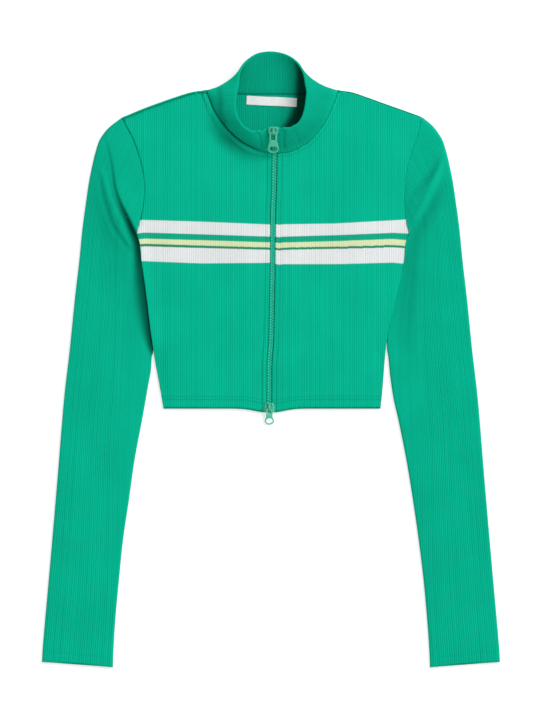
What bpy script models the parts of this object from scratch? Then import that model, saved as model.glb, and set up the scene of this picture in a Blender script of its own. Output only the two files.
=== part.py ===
"""A cropped rib-knit zip jacket with a stand collar, laid flat, as solids at real size.

The jacket lies on the XY plane with its fronts up and its hem towards -Y. Sizes are in
millimetres until a mesh is written. Pieces are named for the wearer's sides, so the
right front and the right sleeve are at -X.
"""

import math

import bmesh
import bpy
import numpy as np
from mathutils import Euler, Vector
from mathutils.geometry import delaunay_2d_cdt

# Driving sizes, in millimetres
MM = 0.001
CLOTH = 1.4  # one layer of rib knit
COLLAR = 2.6  # the collar is doubled
SEAM = 0.3  # gap between two pieces that are sewn together
AIR = 1.6  # the fronts' loft over the back
EDGE_EASE = 18.0  # how far from a side seam the front reaches its full loft
RIB_PITCH = 5.0  # every second rib of the knit is raised
RIB_HIGH = 0.3
COLLAR_RIB_PITCH = 6.6
ROW_STEP = 36.0  # spacing of points along a rib
SLEEVE_THICK = 3.8  # a flattened sleeve: two layers and a little air
ZIP_HALF = 3.15  # from the zip's middle to a front's edge
TAPE_REACH = 9.0
SHOULDER_LIP = 2.3  # the back's strip that shows above the shoulder seam
HEM_Y = -56.6
HEM_DIP = 4.4  # how far the front hem drops at the zip
HEM_DIP_WIDE = 14.0
BACK_HEM_LIFT = 0.8  # the back hem stays hidden behind the fronts
FULL_LOFT_Y = (130.0, 175.0)  # between these heights a front's side edge rises to full loft
FOLD_SHARE_UNDER = 0.5  # how much of a fold the front's underside follows
UPPER_MARGIN = 1.2  # what rib lines keep to a panel's edge
UNDER_GRID = (7.0, 45.0, 3.0)  # a front's plain underside: column step, row step, margin
BACK_GRID = (24.0, 60.0, 6.0)  # the back's plain faces
BACK_SQUASH = 0.6
LEAST_RUN = 3.0  # a rib line shorter than this is left out

# Left and right edges by height on the chest: y, x of the right side (-X), x of the left
ARMHOLE = (
    (278.0, -170.2, 172.6),
    (269.7, -167.3, 170.6),
    (255.9, -160.4, 167.6),
    (238.6, -154.0, 161.6),
    (220.2, -148.9, 156.4),
    (200.7, -146.0, 153.6),
    (182.3, -146.6, 152.7),
    (161.6, -148.6, 153.6),
    (145.5, -155.1, 158.8),
)
SIDE_SEAM = (
    (145.5, -155.1, 158.8),
    (129.4, -151.4, 156.4),
    (113.3, -149.4, 153.6),
    (90.3, -146.4, 149.0),
    (62.7, -143.1, 144.0),
    (30.5, -138.9, 137.6),
    (9.2, -135.7, 133.6),
    (-35.0, -127.8, 129.2),
    (-56.6, -123.6, 125.9),
)
# The silhouette above the shoulder seam, for one side: distance from the middle, y
SHOULDER = (
    (173.6, 280.0),
    (161.6, 284.6),
    (150.6, 289.2),
    (138.6, 293.8),
    (125.9, 298.4),
    (111.0, 303.0),
    (93.0, 307.4),
    (78.2, 309.4),
)
# The sleeve's outer fold for one side, from the shoulder to the cuff
OUTER_FOLD = (
    (174.0, 279.6),
    (185.7, 270.8),
    (193.0, 263.0),
    (199.5, 252.4),
    (203.2, 240.9),
    (206.2, 229.4),
    (211.0, 206.4),
    (214.5, 183.4),
    (219.1, 148.9),
    (222.5, 114.4),
    (227.8, 68.4),
    (233.6, 10.9),
    (240.2, -46.6),
    (247.8, -138.6),
    (255.9, -230.6),
    (264.4, -322.6),
    (265.0, -350.4),
)
# The sleeve's inner edge below the armhole: y, x of the right sleeve, x of the left
INNER_EDGE = (
    (145.5, -155.8, 159.5),
    (129.4, -152.3, 157.3),
    (113.3, -150.3, 154.6),
    (90.3, -147.3, 150.0),
    (62.7, -144.0, 145.0),
    (30.5, -139.8, 138.6),
    (9.2, -136.8, 134.8),
    (-6.3, -136.3, 134.2),
    (-23.6, -138.6, 136.0),
    (-46.6, -142.0, 139.7),
    (-69.6, -146.8, 145.5),
    (-115.6, -154.7, 154.7),
    (-161.6, -161.6, 161.6),
    (-207.6, -168.5, 168.5),
    (-253.6, -173.1, 173.4),
    (-299.6, -177.7, 178.0),
    (-334.1, -180.2, 181.1),
    (-353.9, -181.9, 182.8),
)
# The zip's middle line, which wanders a little: y, x
ZIP_LINE = (
    (266.7, 1.9),
    (238.0, 3.6),
    (194.9, 2.9),
    (168.5, 1.6),
    (101.8, 1.2),
    (22.4, -0.3),
    (-2.0, -2.3),
    (-62.0, -2.5),
)
# Neck seam and collar rim, from the right front round the back to the left front:
# seam x, seam y, rim x, rim y, rim height, share of the steep front shape
NECK = (
    (0.45, 238.0, -1.6, 266.4, 26.0, 1.0),
    (-11.0, 239.8, -9.5, 263.6, 26.0, 1.0),
    (-21.5, 243.2, -16.5, 261.8, 26.5, 1.0),
    (-33.9, 250.1, -24.6, 262.6, 27.0, 1.0),
    (-45.8, 260.1, -31.5, 266.9, 28.0, 1.0),
    (-56.3, 272.0, -36.6, 273.4, 29.0, 1.0),
    (-65.7, 286.0, -40.4, 282.4, 29.0, 0.95),
    (-70.6, 297.3, -41.6, 291.6, 29.0, 0.85),
    (-73.6, 304.6, -40.6, 304.0, 28.5, 0.75),
    (-73.4, 308.4, -38.2, 317.0, 27.0, 0.6),
    (-66.0, 308.6, -37.4, 326.4, 25.0, 0.4),
    (-53.0, 306.8, -35.0, 333.6, 22.0, 0.2),
    (-38.0, 305.2, -28.4, 342.4, 18.0, 0.05),
    (-19.0, 305.0, -16.2, 350.6, 14.0, 0.0),
    (0.0, 305.0, 0.0, 352.9, 12.5, 0.0),
    (19.0, 305.0, 16.4, 349.6, 14.0, 0.0),
    (38.0, 305.2, 28.2, 342.0, 18.0, 0.05),
    (54.0, 306.8, 34.8, 333.0, 22.0, 0.2),
    (67.5, 308.6, 37.8, 325.2, 25.0, 0.4),
    (75.4, 308.4, 39.4, 315.2, 27.0, 0.6),
    (76.2, 304.6, 40.8, 307.0, 28.5, 0.75),
    (74.0, 296.0, 40.0, 297.5, 29.0, 0.85),
    (70.6, 285.6, 38.4, 287.5, 29.0, 0.95),
    (63.6, 273.0, 35.6, 278.2, 29.0, 1.0),
    (55.0, 262.4, 31.6, 271.8, 28.0, 1.0),
    (45.0, 252.6, 26.0, 267.6, 27.0, 1.0),
    (32.0, 243.6, 18.6, 265.4, 26.5, 1.0),
    (20.0, 238.6, 12.0, 265.4, 26.0, 1.0),
    (6.75, 237.0, 5.3, 266.4, 26.0, 1.0),
)
ARMHOLE_STEP = 6.5
ARMPIT_EASE = 0.5  # more room round the corner where armhole and side seam meet
# The back's neck edge for one side: distance from the middle, y
BACK_NECK = ((78.0, 308.0), (66.0, 307.8), (53.0, 306.2), (38.0, 304.7), (12.0, 304.6))
# The back's folded lip along a shoulder: face, distance in from the silhouette, height
LIP_HIGH = 4.6
LIP_EDGE = (LIP_HIGH - 1.0, 1.2)  # upper and lower height of the lip's rounded edge
LIP_END = 1.5
LIP_LINES = (
    ("upper", 0.5, LIP_HIGH),
    ("upper", 1.8, LIP_HIGH - 0.4),
    ("upper", SHOULDER_LIP - 0.1, CLOTH),
    ("lower", 0.9, 0.0),
)
# Folds that stand up near the armpits: height, half width, then their line x, y
FOLDS = (
    (3.4, 6.0, ((-197.0, 214.0), (-189.5, 198.4), (-184.2, 177.1), (-175.9, 158.0))),
    (4.2, 7.0, ((-172.0, 226.0), (-168.0, 200.0), (-162.0, 180.0), (-154.5, 160.0))),
    (2.2, 5.0, ((-205.0, 190.0), (-196.0, 168.0), (-186.0, 146.0), (-172.0, 126.0))),
    (3.4, 5.5, ((195.4, 225.0), (190.5, 212.0), (181.0, 196.0), (167.5, 170.0))),
    (1.8, 6.0, ((190.0, 196.0), (182.0, 176.0), (172.0, 156.0), (166.0, 140.0))),
)
# Label inside the back neck
LABEL_SIZE = (57.8, 10.2, 0.5)
LABEL_AT = (0.2, 296.8)
LABEL_TURN_DEG = -2.6

# Zip furniture
PLATE = (11.2, 11.0, 2.2)
PLATE_EDGE = 0.9
CORE = (4.4, 8.0, 1.2)  # the wedge under the plate, between the chains
CORE_RISE = 0.2
BRIDGE = (3.0, 9.4, 4.5)
BRIDGE_EDGE = 0.7
BRIDGE_SINK = 0.3
BRIDGE_WINDOW = (8.0, 6.8, 3.3)  # the opening under the bridge that the pull hangs in
HINGE_BACK = 2.2  # from the plate's middle to the pull's hinge
HINGE_RISE = 2.05  # above the plate
PULL_THICK = 1.5
PULL_BAR = 1.2  # the bar that turns under the bridge
PULL_TILT_DEG = 24.0  # the pull leans on the end of its slider
PULL_SHOULDER = 7.0  # from the hinge to where the pull widens
PULL_TAB = 6.0  # the tab's full width starts this far above its end
SLOT = (2.1, 6.2)  # half width and length of the slot that the bridge's leg passes through
# What sets one slider apart: name, y, height, slope, pull's length, neck and tab widths,
# then the hole's place and half sizes
SLIDERS = (
    ("top", 262.6, 28.1, 14.0, 28.0, 8.6, 12.0, (-23.4, 4.4, 3.0)),
    ("bottom", -55.2, 5.2, 0.0, 18.8, 7.3, 10.5, (-14.9, 3.9, 2.7)),
)

GREEN = (0.010, 0.445, 0.265, 1.0)
GREEN_DARK = (0.006, 0.330, 0.200, 1.0)
WHITE = (0.86, 0.86, 0.84, 1.0)
PULL_GREEN = (0.100, 0.560, 0.350, 1.0)


# Small helpers


def clear_scene():
    """Removes what the scene holds."""
    for old in list(bpy.data.objects):
        bpy.data.objects.remove(old, do_unlink=True)


def collection(name):
    """A new collection in the scene."""
    made = bpy.data.collections.new(name)
    bpy.context.scene.collection.children.link(made)
    return made


def finish(name, colour, roughness, metallic=0.0):
    """A material with a Principled shader."""
    made = bpy.data.materials.new(name)
    made.use_nodes = True
    shader = made.node_tree.nodes["Principled BSDF"]
    shader.inputs["Base Color"].default_value = colour
    shader.inputs["Roughness"].default_value = roughness
    shader.inputs["Metallic"].default_value = metallic
    return made


def mesh_object(name, points, faces, material, home):
    """An object from points in millimetres."""
    mesh = bpy.data.meshes.new(name)
    mesh.from_pydata([Vector(p) * MM for p in points], [], faces)
    mesh.validate()
    mesh.materials.append(material)
    made = bpy.data.objects.new(name, mesh)
    home.objects.link(made)
    return made


def smoothstep(value, low, high):
    """0 below low, 1 above high, with a smooth ramp between."""
    share = np.clip((np.asarray(value, float) - low) / (high - low), 0.0, 1.0)
    return share * share * (3.0 - 2.0 * share)


def spline(knots, places):
    """Catmull-Rom values at places counted in knots."""
    rows = np.asarray(knots, float)
    padded = np.vstack([2 * rows[0] - rows[1], rows, 2 * rows[-1] - rows[-2]])
    places = np.clip(np.asarray(places, float), 0.0, len(rows) - 1.0)
    first = np.minimum(places.astype(int), len(rows) - 2)
    t = (places - first)[:, None]
    a, b, c, d = (padded[first + k] for k in range(4))
    return 0.5 * (
        2 * b
        + (c - a) * t
        + (2 * a - 5 * b + 4 * c - d) * t**2
        + (3 * b - a - 3 * c + d) * t**3
    )


def even_path(knots, spacing=None, count=None):
    """A smooth line through the knots, with points an even distance apart."""
    fine = spline(knots, np.linspace(0, len(knots) - 1, 40 * len(knots)))
    run = np.concatenate([[0], np.cumsum(np.linalg.norm(np.diff(fine, axis=0), axis=1))])
    count = count or max(2, round(run[-1] / spacing) + 1)
    want = np.linspace(0, run[-1], count)
    return np.stack([np.interp(want, run, column) for column in fine.T], axis=1)


def column(table, index):
    """One column of a table."""
    return [row[index] for row in table]


def distance_to_line(points, line):
    """Distance of each point to a line of segments, and the place along it from 0 to 1."""
    line = np.asarray(line, float)
    best = np.full(len(points), np.inf)
    place = np.zeros(len(points))
    for k, (a, b) in enumerate(zip(line[:-1], line[1:])):
        along = b - a
        share = np.clip((points - a) @ along / (along @ along), 0.0, 1.0)
        far = np.linalg.norm(points - a - share[:, None] * along, axis=1)
        near = far < best
        best = np.where(near, far, best)
        place = np.where(near, (k + share) / (len(line) - 1), place)
    return best, place


def fold_height(points):
    """How far the folds lift the cloth at each point."""
    lift = np.zeros(len(points))
    for high, wide, line in FOLDS:
        far, place = distance_to_line(points, line)
        taper = np.sin(np.pi * np.clip(0.12 + 0.76 * place, 0, 1)) ** 0.7
        lift = np.maximum(lift, high * taper * np.exp(-((far / wide) ** 2)))
    return lift


# Outlines in plan


def body_edge_x(y, side):
    """x of the body's edge beside the sleeve: the armhole, and the side seam below it."""
    edge = np.vstack([even_path(sided(table, side), count=61) for table in (ARMHOLE, SIDE_SEAM)])
    corner = ARMPIT_EASE * np.exp(-(((y - SIDE_SEAM[0][0]) / 8.0) ** 2))
    return np.interp(y, edge[::-1, 1], edge[::-1, 0]) + side * corner


def zip_x(y):
    """x of the zip's middle at a height."""
    return np.interp(y, column(ZIP_LINE, 0)[::-1], column(ZIP_LINE, 1)[::-1])


def neck_knots(side):
    """The front neck seam of one side, from the zip to the shoulder."""
    half = NECK[:9] if side < 0 else NECK[:-10:-1]
    return [(row[0], row[1]) for row in half]


def mirrored(table, side):
    """A table of distances from the middle and y, on one side."""
    return [(side * row[0], row[1]) for row in table]


def sided(table, side):
    """A table of y and two x values as points on one side."""
    return [(row[1] if side < 0 else row[2], row[0]) for row in table]


def hem_y(x, side):
    """The front hem, which dips at the zip."""
    middle = zip_x(HEM_Y) + side * ZIP_HALF
    return HEM_Y - HEM_DIP * np.exp(-(((np.asarray(x) - middle) / HEM_DIP_WIDE) ** 2))


def front_outline(side):
    """The edge of a front, from the neck at the zip round to the zip again."""
    neck = even_path(neck_knots(side), spacing=7.0)
    lip = np.array([0.0, SHOULDER_LIP + SEAM])
    shoulder = even_path(mirrored(SHOULDER, side)[::-1], spacing=12.0)[:-1] - lip
    armhole = even_path(sided(ARMHOLE, side), spacing=ARMHOLE_STEP)
    seam = even_path(sided(SIDE_SEAM, side), spacing=18.0)[1:]
    edge = zip_x(HEM_Y - HEM_DIP) + side * ZIP_HALF
    hem_x = np.linspace(seam[-1][0], edge, 22)[1:]
    hem = np.stack([hem_x, hem_y(hem_x, side)], axis=1)
    climb = np.linspace(hem[-1][1], neck[0][1], 14)[1:-1]
    front_edge = np.stack([zip_x(climb) + side * ZIP_HALF, climb], axis=1)
    return np.vstack([neck, shoulder, armhole, seam, hem, front_edge])


def back_outline():
    """The edge of the back, from the neck's right corner round by the left."""
    sides = {}
    for side in (-1, 1):
        shoulder = even_path(mirrored(SHOULDER, side)[::-1], spacing=12.0)
        armhole = even_path(sided(ARMHOLE, side), spacing=ARMHOLE_STEP)
        armhole[0] = shoulder[-1] + np.array([-0.4 * side, -1.8])
        seam = even_path(sided(SIDE_SEAM, side), spacing=24.0)[1:]
        seam[-1][1] += BACK_HEM_LIFT
        sides[side] = np.vstack([shoulder, armhole, seam])
    neck = mirrored(BACK_NECK, -1) + mirrored(BACK_NECK, 1)[::-1]
    return np.vstack([neck, sides[1], sides[-1][::-1]])


# Heights


def front_under(points, side):
    """The underside of a front over the back."""
    x, y = points[:, 0], points[:, 1]
    below = y < SIDE_SEAM[0][0]
    inward = np.abs(body_edge_x(y, side) - x)
    ease = np.where(below, smoothstep(inward, 0.0, EDGE_EASE), 1.0)
    ease = np.maximum(ease, smoothstep(y, *FULL_LOFT_Y))
    return CLOTH + SEAM + AIR * ease + FOLD_SHARE_UNDER * fold_height(points)


# Panels: two triangulated faces over one outline


def inside(points, outline):
    """Which points are inside a closed outline."""
    x, y = points[:, 0], points[:, 1]
    result = np.zeros(len(points), bool)
    for a, b in zip(outline, np.roll(outline, -1, axis=0)):
        crosses = (a[1] > y) != (b[1] > y)
        reach = a[0] + (y - a[1]) * (b[0] - a[0]) / (b[1] - a[1] + 1e-12)
        result ^= crosses & (x < reach)
    return result


def rib_columns(outline, spacing, row_step, margin):
    """Points inside the outline along lines of constant x, one list for each stretch."""
    closed = np.vstack([outline, outline[:1]])
    low, high = outline.min(axis=0), outline.max(axis=0)
    stretches = []
    for index in range(math.ceil(low[0] / spacing), math.floor(high[0] / spacing) + 1):
        x = index * spacing
        y = np.arange(low[1], high[1], 1.0)
        line = np.stack([np.full_like(y, x), y], axis=1)
        free = inside(line, outline) & (distance_to_line(line, closed)[0] > margin)
        starts = np.flatnonzero(free & ~np.roll(free, 1))
        ends = np.flatnonzero(free & ~np.roll(free, -1))
        for a, b in zip(starts, ends):
            if y[b] - y[a] < LEAST_RUN:
                continue
            count = max(2, round((y[b] - y[a]) / row_step) + 1)
            ys = np.linspace(y[a], y[b], count)
            stretches.append((index, np.stack([np.full(count, x), ys], axis=1)))
    return stretches


def triangles(outline, inner, lines, squash):
    """Delaunay triangles over the outline and the inner points, keeping given lines."""
    count = len(outline)
    points = np.vstack([outline, inner])
    edges = [(k, (k + 1) % count) for k in range(count)]
    edges += [(count + a, count + b) for a, b in lines]
    flat = [Vector((p[0], p[1] * squash)) for p in points]
    found = delaunay_2d_cdt(flat, edges, [], 0, 1e-5, True)
    faces = [[found[3][k][0] for k in face] for face in found[2]]
    return drop_outside(faces, count)


def drop_outside(faces, count):
    """Leaves out the triangles beyond the outline, which is the first points in turn."""
    rim = {(k, (k + 1) % count) for k in range(count)}
    owner = {(f[k], f[(k + 1) % 3]): i for i, f in enumerate(faces) for k in range(3)}
    waiting = [owner[(b, a)] for a, b in rim if (b, a) in owner]
    outside = set(waiting)
    while waiting:
        face = faces[waiting.pop()]
        for k in range(3):
            a, b = face[k], face[(k + 1) % 3]
            other = owner.get((b, a))
            if other is None or other in outside or (a, b) in rim or (b, a) in rim:
                continue
            outside.add(other)
            waiting.append(other)
    return [face for i, face in enumerate(faces) if i not in outside]


class Face:
    """Points inside an outline with their heights, and the lines that triangles keep."""

    def __init__(self):
        self.points = []
        self.heights = []
        self.lines = []

    def add(self, run, heights):
        """Adds a line of points."""
        base = len(self.points)
        self.points += list(run)
        self.heights += list(np.broadcast_to(heights, len(run)))
        self.lines += [(base + k, base + k + 1) for k in range(len(run) - 1)]


def counterclockwise(outline):
    """The outline, turned round if it runs clockwise."""
    after = np.roll(outline, -1, axis=0)
    turn = np.sum(outline[:, 0] * after[:, 1] - after[:, 0] * outline[:, 1])
    return outline[::-1] if turn < 0 else outline


def panel(name, outline, upper, lower, rim, squash, material, home):
    """A closed cloth panel from an upper and a lower face over one outline."""
    count = len(outline)
    points, faces = [], []
    for face, rim_z, turn in ((upper, rim[0], 1), (lower, rim[1], -1)):
        base = len(points)
        plan = np.vstack([outline, face.points])
        height = np.concatenate([np.broadcast_to(rim_z, count), face.heights])
        points += list(np.column_stack([plan, height]))
        found = triangles(outline, face.points, face.lines, squash)
        faces += [[base + k for k in one[::turn]] for one in found]
    under = count + len(upper.points)
    for k in range(count):
        after = (k + 1) % count
        faces.append([k, under + k, under + after, after])
    return mesh_object(name, points, faces, material, home)


def front(name, side, material, home):
    """A front: ribs raised on a plain underside."""
    outline = counterclockwise(front_outline(side))
    upper, lower = Face(), Face()
    for index, run in rib_columns(outline, RIB_PITCH / 2, ROW_STEP, UPPER_MARGIN):
        lift = RIB_HIGH if index % 2 else 0.0
        upper.add(run, front_under(run, side) + CLOTH + lift)
    for _, run in rib_columns(outline, *UNDER_GRID):
        lower.add(run, front_under(run, side))
    rim_low = front_under(outline, side)
    rim = (rim_low + CLOTH, rim_low)
    return panel(name, outline, upper, lower, rim, RIB_PITCH / ROW_STEP, material, home)


def back(name, material, home):
    """The back, flat on the floor, with a folded lip along each shoulder seam."""
    outline = counterclockwise(back_outline())
    upper, lower = Face(), Face()
    for face, height in ((upper, CLOTH), (lower, 0.0)):
        for _, run in rib_columns(outline, *BACK_GRID):
            face.add(run, height)
    for side in (-1, 1):
        silhouette = even_path(mirrored(SHOULDER, side)[::-1], spacing=12.0)
        for face, inset, height in LIP_LINES:
            run = inset_line(silhouette, inset, side)
            (upper if face == "upper" else lower).add(run, height)
    one_side = np.column_stack([np.abs(outline[:, 0]), outline[:, 1]])
    on_shoulder = distance_to_line(one_side, SHOULDER)[0] < SEAM
    rim = (np.where(on_shoulder, LIP_EDGE[0], CLOTH), np.where(on_shoulder, LIP_EDGE[1], 0.0))
    return panel(name, outline, upper, lower, rim, BACK_SQUASH, material, home)


def inset_line(line, inset, side):
    """A line moved in from an edge, with its ends drawn in."""
    run = np.gradient(line, axis=0)
    run = run / np.linalg.norm(run, axis=1)[:, None]
    moved = line + side * inset * np.stack([run[:, 1], -run[:, 0]], axis=1)
    moved[0] += run[0] * LIP_END
    moved[-1] -= run[-1] * LIP_END
    return moved


# Lofts


def stitch(a, b, places_a, places_b):
    """Triangles between two rows of point numbers whose places run from 0 to 1."""
    faces = []
    i = j = 0
    while i < len(a) - 1 or j < len(b) - 1:
        step_a = places_a[i + 1] if i < len(a) - 1 else 9.0
        step_b = places_b[j + 1] if j < len(b) - 1 else 9.0
        if step_a <= step_b:
            faces.append([a[i], b[j], a[i + 1]])
            i += 1
        else:
            faces.append([a[i], b[j], b[j + 1]])
            j += 1
    return faces


def grid_faces(rows):
    """Quads between rows of point numbers of equal length."""
    faces = []
    for a, b in zip(rows[:-1], rows[1:]):
        for k in range(len(a) - 1):
            faces.append([a[k], a[k + 1], b[k + 1], b[k]])
    return faces


class Loft:
    """Points and faces gathered row by row."""

    def __init__(self):
        self.points = []
        self.faces = []

    def row(self, points):
        """Adds a row of points and returns their numbers."""
        first = len(self.points)
        self.points += [tuple(p) for p in points]
        return list(range(first, len(self.points)))

    def build(self, name, material, home):
        """The finished object, with its faces turned outwards."""
        made = mesh_object(name, self.points, self.faces, material, home)
        shape = bmesh.new()
        shape.from_mesh(made.data)
        bmesh.ops.remove_doubles(shape, verts=shape.verts, dist=1e-7)
        bmesh.ops.recalc_face_normals(shape, faces=shape.faces)
        shape.to_mesh(made.data)
        shape.free()
        return made


# Sleeves

SLEEVE_ROWS = (
    0.0, 0.012, 0.03, 0.052, 0.08, 0.11, 0.145, 0.185, 0.235,
    0.32, 0.45, 0.6, 0.75, 0.9, 0.975, 1.0,
)
BOW_REACH = 0.2  # how far down the sleeve the armhole's curve fades at the outer fold
BOW_LEAST = 0.02
OUTER_RIBS = 26  # rib lines that reach the cuff beside the outer fold
INNER_RIBS = 20  # rib lines that run out along the inner edge
CUFF_TUCK = 12.0  # what those lines keep between them at the cuff
BEND_STEPS = (0.0, 0.15, 0.5, 1.0)  # shares of the fold's rounding
PLAIN_COLUMNS = 8
UNDER_FOLD = 0.3  # where the underside starts to round up, as a share of half the height
SLEEVE_GAP = 0.1  # what a sleeve keeps to the body's edge beyond the seam's gap
SLEEVE_CLEAR = 0.15
SLEEVE_RISE = (0.02, 0.16)  # shares along between which a sleeve drops to its pressed height


def sleeve_frame(side):
    """Functions that place a point of the sleeve in plan, by share across and along."""
    outer = even_path(mirrored(OUTER_FOLD, side), count=241)
    inner = even_path(sided(INNER_EDGE, side), count=241)
    armhole = even_path(sided(ARMHOLE, side), count=121)
    armhole = armhole + np.array([side * (SEAM + SLEEVE_GAP), 0.0])
    shares = np.linspace(0, 1, 121)[:, None]
    armhole = armhole + (1 - shares) * (outer[0] - armhole[0]) + shares * (inner[0] - armhole[-1])

    def place(across, along):
        across = np.atleast_1d(across)
        o = np.array([np.interp(along, np.linspace(0, 1, 241), c) for c in outer.T])
        i = np.array([np.interp(along, np.linspace(0, 1, 241), c) for c in inner.T])
        bow = np.stack([np.interp(across, shares[:, 0], c) for c in armhole.T], axis=1)
        chord = armhole[0] + across[:, None] * (armhole[-1] - armhole[0])
        reach = BOW_REACH * (1.0 - across) ** 0.8 + BOW_LEAST
        fade = (1.0 - smoothstep(along / reach, 0.0, 1.0)) ** 1.3
        plan = o + across[:, None] * (i - o) + fade[:, None] * (bow - chord)
        edge = body_edge_x(plan[:, 1], side) + side * (SEAM + SLEEVE_CLEAR)
        beside = plan[:, 1] > INNER_EDGE[7][0]
        clear = side * np.maximum(side * plan[:, 0], side * edge)
        plan[:, 0] = np.where(beside, clear, plan[:, 0])
        return plan

    return place


def sleeve_top(points, along):
    """Height of the sleeve's upper face."""
    at_armhole = CLOTH * 2 + SEAM + AIR
    plain = at_armhole + (SLEEVE_THICK - at_armhole) * float(smoothstep(along, *SLEEVE_RISE))
    return plain + fold_height(points) * float(smoothstep(along, -0.01, 0.03) * 0.5 + 0.5)


def sleeve_columns(width):
    """Distances from the outer fold of the upper face's points."""
    bend = SLEEVE_THICK / 2
    near = [bend * s for s in BEND_STEPS]
    ribs = [bend + RIB_PITCH / 2 * (k + 1) for k in range(OUTER_RIBS)]
    rest_start, rest_end = ribs[-1], width - bend
    rest = [
        rest_start + (rest_end - rest_start) * (k + 1) / (INNER_RIBS + 1)
        for k in range(INNER_RIBS)
    ]
    far = [width - bend * s for s in BEND_STEPS[::-1]]
    lifts = [0.0] * len(near)
    lifts += [RIB_HIGH if k % 2 == 0 else 0.0 for k in range(OUTER_RIBS)]
    thin = min(1.0, (rest_end - rest_start) / (INNER_RIBS + 1) / (RIB_PITCH / 2))
    lifts += [RIB_HIGH * thin if k % 2 == 0 else 0.0 for k in range(INNER_RIBS)]
    lifts += [0.0] * len(far)
    return np.array(near + ribs + rest + far), np.array(lifts)


def rounding(distance, width, radius):
    """Share of the full half height, by distance from the nearer fold."""
    near = np.minimum(distance, width - distance)
    inner = np.clip(1.0 - near / radius, 0.0, 1.0)
    return np.sqrt(np.clip(1.0 - inner**2, 0.0, 1.0))


def ring_points(place, along, upper, lower):
    """A closed ring from an upper and a lower run, each of distances and heights."""
    ends = place(np.array([0.0, 1.0]), along)
    width = float(np.linalg.norm(ends[1] - ends[0]))
    runs = [np.column_stack([place(run / width, along), high]) for run, high in (upper, lower)]
    return np.vstack([runs[0], runs[1][::-1]])


def outer_ring(place, along, width):
    """The sleeve's outer ring: ribbed above, flat below and rounded at its two folds."""
    middle = SLEEVE_THICK / 2
    across, lifts = sleeve_columns(width)
    lifts = lifts * (0.0 if along in (0.0, 1.0) else 1.0)
    full = sleeve_top(place(across / width, along), along)
    high = middle + (full - middle) * rounding(across, width, middle) + lifts
    flat = np.linspace(middle, width - middle, PLAIN_COLUMNS)
    tuck = UNDER_FOLD * middle
    under = np.concatenate([[tuck], flat, [width - tuck]])
    low = middle * (1 - rounding(under, width, middle))
    return across, under, ring_points(place, along, (across, high), (under, low))


def inner_ring(place, along, width, outer_across):
    """The sleeve's plain inner ring, one cloth thickness inside the outer one."""
    middle = SLEEVE_THICK / 2
    skip = np.append(outer_across[:-1:2], outer_across[-1])
    across = np.clip(skip + CLOTH * (1 - 2 * skip / width), CLOTH, width - CLOTH)
    full = sleeve_top(place(across / width, along), along) - CLOTH
    bend = rounding(across - CLOTH, width - 2 * CLOTH, middle - CLOTH)
    high = middle + (full - middle) * bend
    end = middle + 2 * (middle - CLOTH)
    under = np.linspace(end, width - end, PLAIN_COLUMNS)
    low = np.full(len(under), CLOTH)
    return across, under, ring_points(place, along, (across, high), (under, low))


def close_end(outer, inner, outer_places, inner_places):
    """Faces over the open end of a tube, between its outer and its inner ring."""
    faces = []
    for places, counts in zip((outer_places, inner_places), (len(outer), len(inner))):
        if len(places[0]) + len(places[1]) != counts:
            raise ValueError("a ring's places don't match its points")
    n_outer, n_inner = len(outer_places[0]), len(inner_places[0])
    faces += stitch(outer[:n_outer], inner[:n_inner], outer_places[0], inner_places[0])
    under_outer = outer[n_outer - 1 :] + outer[:1]
    under_inner = inner[n_inner - 1 :] + inner[:1]
    runs = [np.concatenate([[0], 1 - p[1][::-1], [1]]) for p in (outer_places, inner_places)]
    faces += stitch(under_outer, under_inner, *runs)
    return faces


def sleeve(name, side, material, home):
    """A sleeve pressed flat: a tube with two folded edges, open at armhole and cuff."""
    place = sleeve_frame(side)
    loft = Loft()
    outers, inners, ends = [], [], []
    for along in SLEEVE_ROWS:
        edge = place(np.array([0.0, 1.0]), along)
        width = float(np.linalg.norm(edge[1] - edge[0]))
        across, under, points = outer_ring(place, along, width)
        outers.append(loft.row(points))
        in_across, in_under, points = inner_ring(place, along, width, across)
        inners.append(loft.row(points))
        ends.append(((across / width, under / width), (in_across / width, in_under / width)))
    for rings in (outers, inners):
        loft.faces += grid_faces([ring + ring[:1] for ring in rings])
    for which in (0, -1):
        loft.faces += close_end(outers[which], inners[which], *ends[which])
    return loft.build(name, material, home)


# Collar

COLLAR_ROWS = (0.0, 0.14, 0.32, 0.5, 0.68, 0.85, 1.0)
COLLAR_INNER_COUNT = 61


def collar_surface(places, share):
    """The collar's middle surface at places along the neck and a share of its height."""
    rows = spline(NECK, places)
    seam, rim = rows[:, 0:2], rows[:, 2:4]
    rim_z, steep = rows[:, 4], np.clip(rows[:, 5], 0, 1)
    toward = rim - seam
    toward = toward / np.linalg.norm(toward, axis=1)[:, None]
    foot = seam + toward * (SEAM + (COLLAR / 2 + 0.1) * steep)[:, None]
    foot_z = COLLAR / 2 + 1.4 * smoothstep(steep, 0.3, 0.9)
    plan_share = steep * share**1.25 + (1 - steep) * share
    rise_share = steep * math.sin(share * math.pi / 2) ** 0.85 + (1 - steep) * share**1.8
    plan = foot + (rim - foot) * plan_share[:, None]
    return np.column_stack([plan, foot_z + (rim_z - foot_z) * rise_share])


def collar_normal(places, share):
    """The outward direction of the collar's surface."""
    step, high = 0.02, min(share + 0.01, 1.0)
    low = high - 0.02
    along = collar_surface(places + step, share) - collar_surface(places - step, share)
    along[0] = along[1]
    along[-1] = along[-2]
    up = collar_surface(places, high) - collar_surface(places, max(low, 0.0))
    out = np.cross(up, along)
    return out / np.linalg.norm(out, axis=1)[:, None]


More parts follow.
